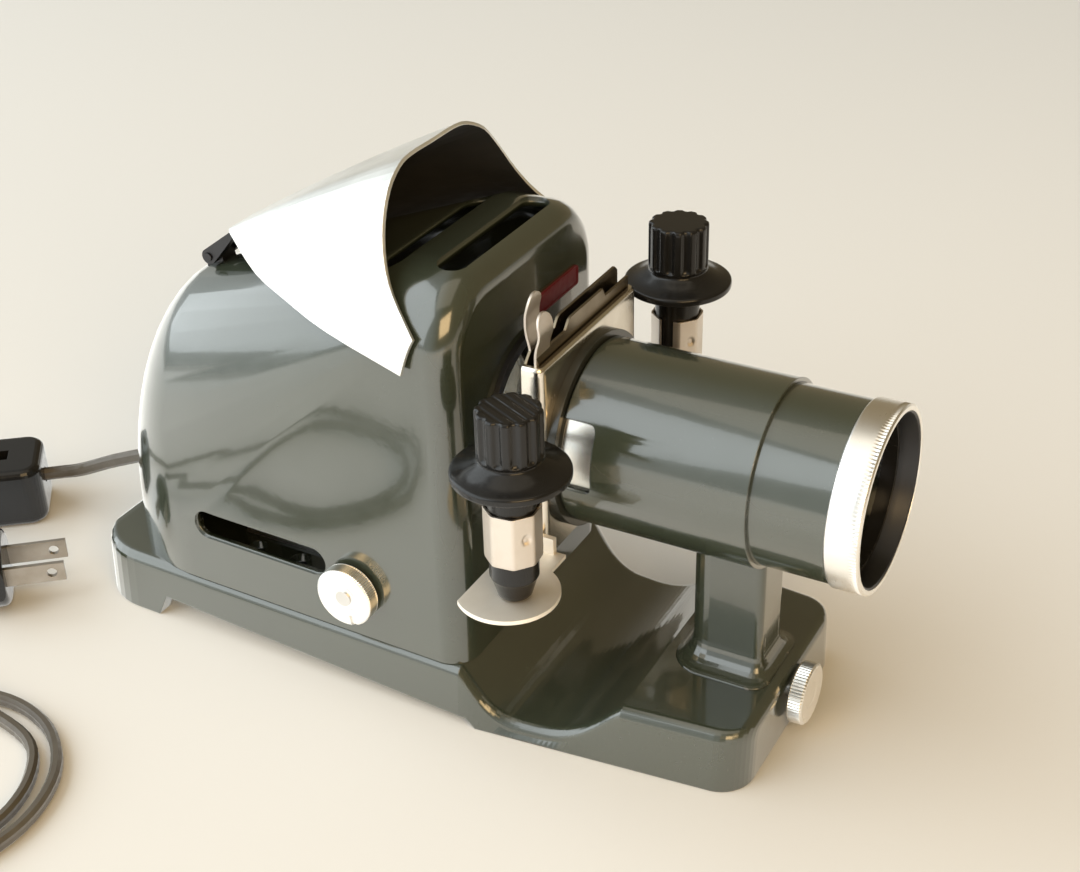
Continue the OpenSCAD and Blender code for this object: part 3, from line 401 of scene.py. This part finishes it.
class Form:
    """A mesh being put together: points in mm, faces, and a material number for each face."""

    def __init__(self):
        self.points = []
        self.faces = []
        self.marks = []

    def point(self, p):
        self.points.append(tuple(p))
        return len(self.points) - 1

    def face(self, corners, mark=0):
        self.faces.append(tuple(corners))
        self.marks.append(mark)

    def lathe(self, profile, segments, shape=None, marks=None):
        """Turns a profile of (r, z) about Z. A profile that starts and ends at r = 0 is a solid; any other
        closes on itself. shape(r, z, turn) moves each point, and marks gives a material number for the band
        after each point."""
        solid = profile[0][0] == 0
        body = profile[1:-1] if solid else profile
        rows = []
        for r, z in body:
            row = []
            for k in range(segments):
                turn = TAU * k / segments
                at_r, at_z = shape(r, z, turn) if shape else (r, z)
                row.append(self.point((at_r * math.cos(turn), at_r * math.sin(turn), at_z)))
            rows.append(row)
        bands = len(rows) - 1 if solid else len(rows)
        for i in range(bands):
            a, b = rows[i], rows[(i + 1) % len(rows)]
            for k in range(segments):
                n = (k + 1) % segments
                self.face((a[k], a[n], b[n], b[k]), marks[i] if marks else 0)
        if solid:
            foot = self.point((0, 0, profile[0][1]))
            top = self.point((0, 0, profile[-1][1]))
            for k in range(segments):
                n = (k + 1) % segments
                self.face((foot, rows[0][n], rows[0][k]))
                self.face((top, rows[-1][k], rows[-1][n]))

    def sheet(self, columns, rows, outside, inside, is_open=None, mark=0):
        """Closed sheet on a grid of columns x rows cells. outside(i, j) and inside(i, j) give its two skins at
        the grid's corners, and is_open(i, j) leaves a cell out."""
        known = {}

        def at(side, i, j):
            if (side, i, j) not in known:
                known[side, i, j] = self.point((outside if side else inside)(i, j))
            return known[side, i, j]

        def solid(i, j):
            return 0 <= i < columns and 0 <= j < rows and not (is_open and is_open(i, j))

        for i in range(columns):
            for j in range(rows):
                if not solid(i, j):
                    continue
                round_cell = ((i, j), (i + 1, j), (i + 1, j + 1), (i, j + 1))
                self.face([at(1, *c) for c in round_cell], mark)
                self.face([at(0, *c) for c in reversed(round_cell)], mark)
                next_cells = ((i, j - 1), (i + 1, j), (i, j + 1), (i - 1, j))
                for k, other in enumerate(next_cells):
                    if not solid(*other):
                        c, d = round_cell[k], round_cell[(k + 1) % 4]
                        self.face((at(1, *c), at(0, *c), at(0, *d), at(1, *d)), mark)

    def prism(self, outlines, low, high, place):
        """Plate between heights low and high over flat outlines, the first the outside and the rest holes, all
        given anticlockwise. place(u, v, h) puts a point in space."""
        flat = [p for outline in outlines for p in outline]
        loops = [[Vector((u, v, 0)) for u, v in outline] for outline in outlines]
        triangles = tessellate_polygon(loops)
        under = [self.point(place(u, v, low)) for u, v in flat]
        over = [self.point(place(u, v, high)) for u, v in flat]
        for a, b, c in triangles:
            pa, pb, pc = (Vector(flat[k]) for k in (a, b, c))
            if (pb - pa).cross(pc - pa) < 0:
                b, c = c, b
            self.face((over[a], over[b], over[c]))
            self.face((under[a], under[c], under[b]))
        start = 0
        for number, outline in enumerate(outlines):
            size = len(outline)
            for k in range(size):
                a, b = start + k, start + (k + 1) % size
                if number:
                    a, b = b, a
                self.face((under[a], under[b], over[b], over[a]))
            start += size

    def take(self, other, place):
        """Adds another form, each of its points put where place(x, y, z) says."""
        start = len(self.points)
        self.points += [place(*p) for p in other.points]
        self.faces += [tuple(start + k for k in face) for face in other.faces]
        self.marks += other.marks

    def finish(self, name, looks, body, node, turn=Matrix.Identity(4), sharp=35):
        """Makes the object, in metres, riding on body and standing for the CAD node. Edges that bend by more
        than sharp degrees stay sharp."""
        mesh = bpy.data.meshes.new(name)
        placed = [(turn @ Vector(p)) * MM for p in self.points]
        mesh.from_pydata(placed, [], self.faces)
        for look in looks:
            mesh.materials.append(look)
        mesh.polygons.foreach_set("material_index", self.marks)
        mesh.shade_smooth()
        mesh.set_sharp_from_angle(angle=math.radians(sharp))
        mesh.validate()
        piece = bpy.data.objects.new(name, mesh)
        bpy.context.scene.collection.objects.link(piece)
        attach(piece, body)
        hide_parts(node)


def ease(x, start=0.0, end=1.0):
    """0 where x is at start, 1 where it is at end, and flat at both."""
    t = min(1.0, max(0.0, (x - start) / (end - start)))
    return t * t * (3 - 2 * t)


def rounded(corners, steps=4):
    """Profile through (r, z, radius) corners, each cut back by its radius and rounded."""
    out = []
    for k, (r, z, radius) in enumerate(corners):
        if radius == 0:
            out.append((r, z))
            continue
        here = Vector((r, z))
        before = (Vector(corners[k - 1][:2]) - here).normalized() * radius
        after = (Vector(corners[(k + 1) % len(corners)][:2]) - here).normalized() * radius
        for i in range(steps + 1):
            t = i / steps
            out.append(tuple(here + before * (1 - t) ** 2 + after * t * t))
    return out


def fine(profile, step, low=-math.inf):
    """The same profile with points added so that no span above height low is longer than step."""
    out = []
    for a, b in zip(profile, profile[1:]):
        parts = max(1, math.ceil(math.dist(a, b) / step)) if max(a[1], b[1]) > low else 1
        for i in range(parts):
            t = i / parts
            out.append((a[0] + (b[0] - a[0]) * t, a[1] + (b[1] - a[1]) * t))
    return out + [profile[-1]]


def mm_box(node):
    """Lowest and highest corner of a CAD node, in mm."""
    low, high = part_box(node)
    return low / MM, high / MM


def centre(node):
    """Middle of a CAD node's box, in mm."""
    low, high = mm_box(node)
    return (low + high) / 2


def standing_on(base, direction):
    """Turns a form drawn up +Z so that it stands on base and points along direction."""
    turn = Vector(UP).rotation_difference(Vector(direction)).to_matrix().to_4x4()
    return Matrix.Translation(base) @ turn


def lying(u, v, h):
    """Puts a plate's outline in x and y."""
    return u, v, h


def facing_x(u, v, h):
    """Puts a plate's outline in y and z."""
    return h, u, v


def facing_y(u, v, h):
    """Puts a plate's outline in x and z, with its thickness towards -y."""
    return u, -h, v


AXIS_Z = centre("lens_ring").z
PIN = centre("gate_pin")


# ---------------------------------------------------------------- knobs and spools

# A winding knob, from its foot at height 0. A flute's half width is a turn round the knob's axis.
KNOB_R = 8.6
FLANGE_EDGE = 2.0
FLANGE_NECK = 5.2
FLUTES = 12
FLUTE_TURN = math.radians(8)
FLUTE_HALF = math.radians(8.6)
FLUTE_DEPTH = 0.75
FLUTE_FLOOR_R = 6.6
FLUTE_FOOT = 6.3
GROOVE_TURN = math.radians(-26)
GROOVE_PITCH = 2.8
GROOVE_HALF = 0.7
GROOVE_DEPTH = 0.18


def flute_depth(r, z, turn):
    """How deep the flutes round a winding knob are at a point."""
    off = abs(math.remainder(turn - FLUTE_TURN, TAU / FLUTES))
    cut = ease(off, 1.25 * FLUTE_HALF, 0.25 * FLUTE_HALF)
    above_foot = ease(z, FLUTE_FOOT, FLUTE_FOOT + 0.7)
    beyond_floor = ease(r, FLUTE_FLOOR_R, FLUTE_FLOOR_R + 1.2)
    return FLUTE_DEPTH * cut * above_foot * beyond_floor


def groove_depth(r, turn):
    """How deep the parallel grooves across a winding knob's top are at a point."""
    off = abs(math.remainder(r * math.sin(turn - GROOVE_TURN), GROOVE_PITCH))
    cut = ease(off, GROOVE_HALF, GROOVE_HALF - 0.5)
    return GROOVE_DEPTH * cut * ease(r, KNOB_R - 0.9, KNOB_R - 1.7)


def winding_knob(side, grooved):
    """Fluted bakelite knob over a sloping glossy flange."""
    low, high = mm_box(f"{side}_knob")
    middle = (low + high) / 2
    rim = (high.x - low.x) / 2
    top = high.z - low.z

    def shape(r, z, turn):
        r -= flute_depth(r, z, turn)
        if grooved and z > top - 0.6:
            z -= groove_depth(r, turn)
        return r, z

    profile = rounded([
        (0, 0, 0), (rim, 0, 0.5), (rim, FLANGE_EDGE, 0.7), (12.3, 2.9, 1.5),
        (KNOB_R - 0.6, FLANGE_NECK, 1.0), (KNOB_R, FLUTE_FOOT, 0.5), (KNOB_R, top, 1.0), (0, top, 0),
    ])
    form = Form()
    form.lathe(fine(fine(profile, 0.8, 0.1), 0.3, top - 0.5), 240, shape)
    form.finish(
        f"{side}_winding_knob", [BLACK], f"{side}_spool", f"{side}_knob",
        standing_on((middle.x, middle.y, low.z), UP), 50
    )


# A spring clip. CLIP_FOLD is the turn of one fold, and the bulge is how far folds stand out from the core.
CLIP_SHEET = 0.6
CLIP_FLATS = 8
CLIP_FOLD = math.radians(-61)
CLIP_MOUTH = math.radians(30)
CLIP_BULGE = 0.42
DIMPLE_TURN = CLIP_FOLD + math.radians(29)
DIMPLE_HEIGHT = 0.55
DIMPLE_R = 1.35
DIMPLE_DEPTH = 0.55
DIMPLE_CROWN = 0.15


def spring_clip(side):
    """Sheet clip folded round the core in flats, open towards the gate, with one round pressed dimple."""
    core_low, core_high = mm_box(f"{side}_core")
    low, high = mm_box(f"{side}_clip")
    middle = (core_low + core_high) / 2
    height = high.z - low.z
    inner = (core_high.x - core_low.x) / 2 + 0.05
    gate_way = math.radians(90 if side == "near" else -90)
    columns, rows = 150, 26

    def skin(thick):
        def at(i, j):
            turn = gate_way + CLIP_MOUTH / 2 + (TAU - CLIP_MOUTH) * i / columns
            z = height * j / rows
            off_flat = (turn - CLIP_FOLD) % (TAU / CLIP_FLATS) - TAU / CLIP_FLATS / 2
            r = min(inner / math.cos(off_flat), inner + CLIP_BULGE) + thick
            around = math.remainder(turn - DIMPLE_TURN, TAU) * r
            off_dimple = math.hypot(around, z - height * DIMPLE_HEIGHT)
            r -= DIMPLE_DEPTH * ease(off_dimple, DIMPLE_R, DIMPLE_R - 0.4)
            r += DIMPLE_CROWN * ease(off_dimple, 0.8, 0.3)
            if thick > 0:
                r -= 0.1 * ease(z, 0.6, 0)
            return r * math.cos(turn), r * math.sin(turn), z
        return at

    form = Form()
    form.sheet(columns, rows, skin(CLIP_SHEET), skin(0.0))
    form.finish(
        f"{side}_spring_clip", [SATIN], f"{side}_spool", f"{side}_clip",
        standing_on((middle.x, middle.y, low.z), UP), 50
    )


KNURL_DEPTH = 0.32
CHAMFER = 0.5
NOTCH_DEPTH = 0.7
NOTCH_HALF = 0.10


def knurl(turn, teeth, depth):
    """How deep a straight knurl is at a turn."""
    return depth * (0.5 + 0.5 * math.cos(teeth * turn))


def knurled_knob(name, node, direction, body, look, teeth, notch=None):
    """Turned aluminium clamp knob: straight knurl, chamfered rims and a shallow dished face. notch is the turn
    at which the face's rim has a filed notch."""
    low, high = mm_box(node)
    size = high - low
    out = Vector(direction)
    height = abs(size.dot(out))
    radius = max(size) / 2
    base = (low + high) / 2 - out * height / 2

    def shape(r, z, turn):
        if r > radius - CHAMFER and CHAMFER < z < height - CHAMFER:
            r -= knurl(turn, teeth, KNURL_DEPTH)
        if notch is not None and z > height - 1 and r > radius * 0.62:
            z -= NOTCH_DEPTH * ease(abs(math.remainder(turn - notch, TAU)), NOTCH_HALF, NOTCH_HALF - 0.03)
        return r, z

    profile = rounded([
        (0, 0, 0), (radius - CHAMFER, 0, 0.15), (radius, CHAMFER, 0.1), (radius, height - 0.6, 0.1),
        (radius - 0.8, height, 0.25), (radius - 1.6, height - 0.15, 0.2), (radius * 0.45, height - 0.25, 0.4),
        (radius * 0.42, height - 0.4, 0.1), (0, height - 0.4, 0),
    ])
    form = Form()
    form.lathe(fine(profile, 0.7, 0.3), teeth * 6, shape)
    form.finish(name, [look], body, node, standing_on(base, direction), 40)


RING_TEETH = 150
RING_KNURL_DEPTH = 0.25
RING_LIP_R = 23.5
RING_THROAT_R = 21.4
RING_SEAT = 3.0


def front_ring():
    """The lens ring: a plain satin band, a fine serration near the front edge, and a blacked inside."""
    low, high = mm_box("lens_ring")
    barrel_low, barrel_high = mm_box("lens_barrel")
    barrel_r = (barrel_high.z - barrel_low.z) / 2
    radius = (high.z - low.z) / 2
    width = high.x - low.x

    def shape(r, z, turn):
        if r > radius - 0.4 and width - 1.9 < z < width - 0.5:
            r -= knurl(turn, RING_TEETH, RING_KNURL_DEPTH)
        return r, z

    outside = rounded([
        (barrel_r, 0, 0), (radius - 0.4, 0, 0.2), (radius, 0.4, 0.2), (radius, width - 0.45, 0.1),
        (radius - 0.5, width, 0.15), (RING_LIP_R, width, 0.2),
    ])
    inside = [
        (RING_LIP_R - 0.5, width - 0.5), (RING_THROAT_R + 0.8, width - 3.5), (RING_THROAT_R, RING_SEAT + 0.2),
        (RING_THROAT_R, RING_SEAT), (barrel_r, RING_SEAT),
    ]
    profile = fine(outside, 0.6) + inside
    marks = [0] * (len(profile) - len(inside) - 1) + [1] * (len(inside) + 1)
    form = Form()
    form.lathe(profile, RING_TEETH * 4, shape, marks)
    form.finish(
        "turned_lens_ring", [TURNED, BLACKED], "barrel", "lens_ring",
        standing_on((low.x, 0, AXIS_Z), (1, 0, 0)), 40
    )


# ---------------------------------------------------------------- film gate

# The gate. WINDOW_Y, WINDOW_Z and FILM_HALF are half sizes about the lens axis. The channel opens towards -x.
WINDOW_Y = 19
WINDOW_Z = 13
FILM_HALF = 19.0
CHANNEL_SHEET = 1.2
CHANNEL_DEPTH = 6.0
SLOT_FRONT = 3.7
FOLD_R = 2.6


def channel_path(half, front):
    """Outer skin of the gate channel seen from above, from its near edge round to its far one."""
    near = [(-CHANNEL_DEPTH, -half), (-SLOT_FRONT, -half)]
    for a in (math.radians(15 * k) for k in range(7)):
        near.append((front - FOLD_R + FOLD_R * math.sin(a), -half + FOLD_R - FOLD_R * math.cos(a)))
    far = [(x, -y) for x, y in reversed(near)]
    return near + [(front, y) for y in (-WINDOW_Y, 0, WINDOW_Y)] + far


def hinge_ears(form, half):
    """Ears low at the channel's two sides, which hold the door's pin."""
    back, front = PIN.x - 5.5, 1 - CHANNEL_DEPTH
    foot, top = PIN.z - 2.2, PIN.z + 6
    ear = [
        (back, foot + 0.7), (back + 1.5, foot), (front, foot), (front, top), (PIN.x - 3, top), (back, top - 2),
    ]
    for y in (-half, half - CHANNEL_SHEET):
        form.prism([ear], y, y + CHANNEL_SHEET, facing_y)


def gate_channel():
    """Sheet channel of the gate, folded at its sides with round corners, with the picture opening, the two film
    slots, a foot and the hinge ears."""
    front, half, top = mm_box("gate_frame")[1]
    foot = mm_box("front_pressure_plate")[0].z - CHANNEL_SHEET
    path = channel_path(half, front)
    levels = [
        foot, AXIS_Z - FILM_HALF, AXIS_Z - WINDOW_Z, AXIS_Z + WINDOW_Z, AXIS_Z + FILM_HALF,
        top - 2.4, top - 1.2, top - 0.4, top,
    ]
    lean = {len(levels) - 2: 0.25, len(levels) - 1: 0.7}

    def skin(inward):
        def at(i, j):
            x, y = path[i]
            before = Vector(path[max(0, i - 1)])
            after = Vector(path[min(len(path) - 1, i + 1)])
            along = (after - before).normalized()
            shift = inward + lean.get(j, 0)
            return x - along.y * shift, y + along.x * shift, levels[j]
        return at

    def is_open(i, j):
        """Row 2 is as high as the window, and rows 1 to 3 as the film."""
        (x, y), (next_x, next_y) = path[i], path[i + 1]
        window = x == next_x == front and abs(y + next_y) / 2 < WINDOW_Y
        slot = min(x, next_x) <= -CHANNEL_DEPTH
        return (window and j == 2) or (slot and 1 <= j <= 3)

    form = Form()
    form.sheet(len(path) - 1, len(levels) - 1, skin(0), skin(CHANNEL_SHEET), is_open)
    inner = half - CHANNEL_SHEET
    shelf = [
        (-CHANNEL_DEPTH, -inner), (-CHANNEL_SHEET, -inner), (-CHANNEL_SHEET, inner), (-CHANNEL_DEPTH, inner),
    ]
    form.prism([shelf], foot, foot + CHANNEL_SHEET, lying)
    hinge_ears(form, half)
    form.finish("folded_gate_channel", [NICKEL], "film_head", "gate_frame", sharp=40)


# The pressure plates. PLATE_FOOT is below the lens axis, and PLATE_DIP and PLATE_RAISED are above it.
PLATE_SHEET = 0.8
PLATE_FOOT = 25.8
PLATE_DIP = 33.6
PLATE_RAISED = 36.3
PLATE_STEP = -8
TAB_HALF = 3.6
TAB_SHEET = 0.7
TAB_SUNK = 0.04
KNUCKLE_Y = 18
KNUCKLE_HALF = 3
KNUCKLE_R = 1.7
KNUCKLE_BORE = 0.86


def plate_outline(half, tab_y, raised_end):
    """Outline of a pressure plate: straight foot, and a top edge that is low beside the tab and raised from the
    step to raised_end, or to the plate's far side if that is None."""
    foot, dip, raised = AXIS_Z - PLATE_FOOT, AXIS_Z + PLATE_DIP, AXIS_Z + PLATE_RAISED
    if raised_end is None:
        far_side = [(half, raised - 1.5), (half - 1.5, raised)]
    else:
        far_side = [(half, dip), (raised_end, dip), (raised_end - 1.5, raised)]
    return [
        (-half, foot), (half, foot), *far_side, (PLATE_STEP + 0.9, raised), (PLATE_STEP - 0.4, raised - 0.5),
        (PLATE_STEP - 2.4, dip), (tab_y + TAB_HALF + 1.5, dip), (tab_y + TAB_HALF, dip - 0.4),
        (tab_y - TAB_HALF, dip - 0.6), (-half + 1.2, dip - 2.6), (-half, dip - 4.4),
    ]


def finger_tab(form, back, foot, top, tab_y, bend):
    """S-bent strip with a round end, slightly hollow across. Its root lies inside the sheet of the plate."""
    rise = top - foot
    columns, rows = 12, 34

    def skin(thick):
        def at(i, j):
            z = rise * (1 - (1 - j / rows) ** 1.6)
            below_arc = TAB_HALF - min(TAB_HALF, rise - z)
            wide = math.sqrt(max(0.0, TAB_HALF ** 2 - below_arc ** 2))
            across = 2 * i / columns - 1
            sway = bend * (ease(z, 2.5, 9.5) - 0.75 * ease(z, 0.62 * rise, 1.02 * rise))
            hollow = 0.35 * (across * wide / TAB_HALF) ** 2 * ease(z, 5, 9)
            return back + TAB_SUNK + thick + sway + hollow, tab_y + max(wide, 0.25) * across, foot + z
        return at

    form.sheet(columns, rows, skin(TAB_SHEET), skin(0), mark=1)


def hinge_knuckles(form, plate_foot):
    """Two knuckles rolled round the gate's pin, each joined to the plate's foot by a strip."""
    strip_foot, strip_top = PIN.z + 1.2, plate_foot + 0.5
    back, front = PIN.x - PLATE_SHEET / 2, PIN.x + PLATE_SHEET / 2
    strip = [(back, strip_foot), (front, strip_foot), (front, strip_top), (back, strip_top)]
    ring = [(KNUCKLE_BORE, -1), (KNUCKLE_R, -1), (KNUCKLE_R, 1), (KNUCKLE_BORE, 1)]
    roll = Form()
    roll.lathe([(r, KNUCKLE_HALF * end) for r, end in ring], 24)
    for middle in (-KNUCKLE_Y, KNUCKLE_Y):
        form.take(roll, lambda x, y, z: (PIN.x + x, middle + z, PIN.z - y))
        form.prism([strip], middle - KNUCKLE_HALF, middle + KNUCKLE_HALF, facing_y)


def pressure_plate(name, node, body, tab_y, bend, raised_end=None, hinged=False):
    """Oxidised sheet plate with a picture window, a stepped top edge and a bent finger tab."""
    front, half, tab_top = mm_box(node)[1]
    back = front - PLATE_SHEET
    hole = [
        (-WINDOW_Y, AXIS_Z - WINDOW_Z), (WINDOW_Y, AXIS_Z - WINDOW_Z),
        (WINDOW_Y, AXIS_Z + WINDOW_Z), (-WINDOW_Y, AXIS_Z + WINDOW_Z),
    ]
    form = Form()
    form.prism([plate_outline(half, tab_y, raised_end), hole], back, front, facing_x)
    finger_tab(form, back, AXIS_Z + PLATE_DIP - 3.5, tab_top, tab_y, bend)
    if hinged:
        hinge_knuckles(form, AXIS_Z - PLATE_FOOT)
    form.finish(name, [BRONZED, SATIN], body, node, sharp=40)


# ---------------------------------------------------------------- label plate

LABEL_CORNER = 0.9
LABEL_BORDER = 0.5
LABEL_SINK = 0.2
LABEL_LIFT = 0.02


def label():
    """Blank stamped plate: round corners, a raised border and a sunk field, lacquered maroon all over."""
    low, high = mm_box("label_plate")

    def outline(inset, radius):
        points = []
        for quarter, (sy, sz) in enumerate(((1, 1), (-1, 1), (-1, -1), (1, -1))):
            y = (high.y - inset - radius) if sy > 0 else (low.y + inset + radius)
            z = (high.z - inset - radius) if sz > 0 else (low.z + inset + radius)
            for k in range(5):
                a = TAU / 4 * (quarter + k / 4)
                points.append((y + radius * math.cos(a), z + radius * math.sin(a)))
        return points

    edge = outline(0, LABEL_CORNER)
    field = outline(LABEL_BORDER, 0.5)
    form = Form()
    form.prism([edge, field], low.x + LABEL_LIFT, high.x, facing_x)
    form.prism([field], low.x + LABEL_LIFT, high.x - LABEL_SINK, facing_x)
    form.finish("blank_label", [MAROON], "base", "label_plate")


# ---------------------------------------------------------------- smooth normals for the lamp house

# The lamp house: radii of its front shoulders and edges, and the dome's length, foot, top and side clearance.
HOUSE_SHOULDER = 21
HOUSE_EDGE = 8
HOUSE_DISC_L = 20
DOME_BACK = 40
DOME_LOW = 31
DOME_TOP = 108
DOME_SLIM = 2.5
DISC_SPOKES = 72
DOME_SPOKES = 90
NORMAL_REACH = 0.25 * MM


def shoulder_points(side, high):
    """The rounded disc at one top corner of the front wall, and the circle where it meets the body behind."""
    hub = Vector((high.x - HOUSE_EDGE, side * (high.y - HOUSE_SHOULDER), high.z - HOUSE_SHOULDER))
    pairs = []
    for k in range(DISC_SPOKES):
        turn = TAU * k / DISC_SPOKES
        spoke = Vector((0, math.cos(turn), math.sin(turn)))
        for a in (math.radians(10 * n) for n in range(10)):
            way = spoke * math.cos(a) + Vector((math.sin(a), 0, 0))
            pairs.append((hub + spoke * (HOUSE_SHOULDER - HOUSE_EDGE) + way * HOUSE_EDGE, way))
        pairs.append((hub + spoke * HOUSE_SHOULDER - Vector((HOUSE_DISC_L - HOUSE_EDGE, 0, 0)), None))
    return pairs


def corner_points(side, low, high):
    """The foot of one upright corner of the front wall."""
    middle = Vector((high.x - HOUSE_EDGE, side * (high.y - HOUSE_EDGE), low.z))
    turns = (math.radians(10 * n - 90) for n in range(19))
    ways = [Vector((math.cos(a), math.sin(a), 0)) for a in turns]
    return [(middle + way * HOUSE_EDGE, way) for way in ways]


def dome_points(low, high):
    """The dome over the back of the house, and the foot of the wall below it."""
    middle = Vector((low.x + DOME_BACK, 0, DOME_LOW))
    reach = Vector((DOME_BACK, high.y - DOME_SLIM, DOME_TOP - DOME_LOW))
    pairs = []
    for k in range(DOME_SPOKES):
        turn = TAU * k / DOME_SPOKES
        for n in range(31):
            a = math.radians(3 * n)
            ball = Vector((math.cos(a) * math.cos(turn), math.cos(a) * math.sin(turn), math.sin(a)))
            place = middle + ball * reach
            way = Vector(b / r for b, r in zip(ball, reach)).normalized()
            pairs.append((place, way))
            if n == 0:
                pairs.append((Vector((place.x, place.y, low.z)), way))
    return pairs


def smooth_form():
    """Convex form that the lamp house stands for, with exact normals. It isn't shown. Each of its points is a
    place and the way the surface faces there, or None where two parts meet."""
    low, high = mm_box("lamp_house")
    pairs = []
    for side in (-1, 1):
        pairs += shoulder_points(side, high) + corner_points(side, low, high)
    pairs += dome_points(low, high)
    hull = bmesh.new()
    number = hull.verts.layers.int.new("number")
    for k, (place, _) in enumerate(pairs):
        hull.verts.new(place * MM)[number] = k
    bmesh.ops.convex_hull(hull, input=hull.verts)
    bmesh.ops.delete(hull, geom=[v for v in hull.verts if not v.link_faces], context="VERTS")
    bmesh.ops.recalc_face_normals(hull, faces=hull.faces)
    hull.normal_update()
    normals = [pairs[v[number]][1] or v.normal.copy() for v in hull.verts]
    mesh = bpy.data.meshes.new("smooth_house")
    hull.to_mesh(mesh)
    hull.free()
    mesh.shade_smooth()
    mesh.normals_split_custom_set_from_vertices(normals)
    guide = bpy.data.objects.new("smooth_house", mesh)
    bpy.context.scene.collection.objects.link(guide)
    guide.hide_render = True
    return guide


def smooth_house():
    """Gives the faceted lamp house the normals of the smooth form it stands for."""
    house = NODES["lamp_house"]
    house.modifiers.remove(house.modifiers["normals"])
    house.data.shade_smooth()
    copy = house.modifiers.new("smooth_form", "DATA_TRANSFER")
    copy.object = smooth_form()
    copy.use_loop_data = True
    copy.data_types_loops = {"CUSTOM_NORMAL"}
    copy.loop_mapping = "POLYINTERP_NEAREST"
    copy.use_max_distance = True
    copy.max_distance = NORMAL_REACH


for side in ("near", "far"):
    winding_knob(side, grooved=side == "near")
    spring_clip(side)
knurled_knob(
    "knurled_side_knob", "side_knob", (0, -1, 0), "lamp_clamp", TURNED_ACROSS, teeth=80, notch=math.radians(-70)
)
knurled_knob("knurled_tilt_knob", "tilt_knob", (1, 0, 0), "tilt_clamp", TURNED, teeth=60)
front_ring()
gate_channel()
pressure_plate("bent_rear_plate", "rear_pressure_plate", "gate_door", tab_y=-19.6, bend=-1.6, hinged=True)
pressure_plate("bent_front_plate", "front_pressure_plate", "film_head", tab_y=-22.9, bend=0.9, raised_end=12.6)
label()
smooth_house()


# ---------------------------------------------------------------- floor, light and camera

FLOOR_SIZE = 14
FLOOR_DROP = 0.2 * MM
CAMERA_PLACE = Vector((0.18526, -0.36107, 0.31919))
CAMERA_AIM = Vector((-0.02726, 0.01912, 0.060))
CAMERA_ROLL = math.radians(-1.537)
SENSOR_WIDTH = 36
FOCAL_LENGTH = 57.2


def floor():
    bpy.ops.mesh.primitive_plane_add(size=1)
    plane = bpy.context.object
    plane.name = "floor"
    plane.scale = (FLOOR_SIZE, FLOOR_SIZE, 1)
    plane.location = (0, 0, -FLOOR_DROP)
    plane.data.materials.append(cloth_floor())


def panel(name, place, aim, size, power, tint):
    """Soft rectangular light at place, facing aim."""
    data = bpy.data.lights.new(name, "AREA")
    data.shape = "RECTANGLE"
    data.size, data.size_y = size
    data.energy = power
    data.color = tint
    lamp = bpy.data.objects.new(name, data)
    lamp.location = place
    lamp.rotation_euler = (Vector(aim) - Vector(place)).to_track_quat("-Z", "Y").to_euler()
    bpy.context.scene.collection.objects.link(lamp)


def world():
    """Dim warm room that brightens, broadly and softly, behind the projector and on its near side. The camera
    sees plain grey in its place."""
    dim, bright, plain = (0.28, 0.22, 0.13), (0.9, 0.97, 1.0), (0.44, 0.43, 0.40)
    bright_side = Vector((-0.80, -0.56, 0.22)).normalized()
    room = bpy.data.worlds.new("room")
    room.use_nodes = True
    nodes = Tree(room.node_tree)
    towards = nodes.vector("DOT_PRODUCT", nodes.add("TexCoord").outputs["Generated"], bright_side)
    spread = nodes.add("MapRange", {"interpolation_type": "SMOOTHSTEP"}, Value=towards, From_Max=0.8)
    shade = nodes.mix(spread.outputs["Result"], dim, bright)
    seen = nodes.mix(nodes.add("LightPath").outputs["Is Camera Ray"], shade, plain)
    nodes.put(seen, room.node_tree.nodes["Background"].inputs["Color"])
    bpy.context.scene.world = room


def camera():
    """Stands 29 degrees round from the near side towards the lens, and looks down 31 degrees."""
    data = bpy.data.cameras.new("camera")
    data.sensor_width = SENSOR_WIDTH
    data.lens = FOCAL_LENGTH
    data.clip_start = 0.01
    cam = bpy.data.objects.new("camera", data)
    turn = (CAMERA_AIM - CAMERA_PLACE).to_track_quat("-Z", "Y").to_matrix().to_4x4()
    cam.matrix_world = Matrix.Translation(CAMERA_PLACE) @ turn @ Matrix.Rotation(CAMERA_ROLL, 4, "Z")
    bpy.context.scene.collection.objects.link(cam)
    bpy.context.scene.camera = cam


floor()
world()
panel("window", (-1.45, -0.85, 1.15), (0, 0, 0.06), size=(3.2, 2.2), power=50, tint=(0.90, 0.97, 1.0))
panel("overhead", (0.1, -0.2, 1.5), (0, 0, 0), size=(1.2, 1.2), power=4, tint=(1.0, 0.90, 0.74))
panel("fill", (1.1, -1.0, 0.9), (0, 0, 0.06), size=(1.0, 0.8), power=17, tint=(1.0, 0.70, 0.36))
camera()
bpy.context.scene.view_settings.view_transform = "Standard"
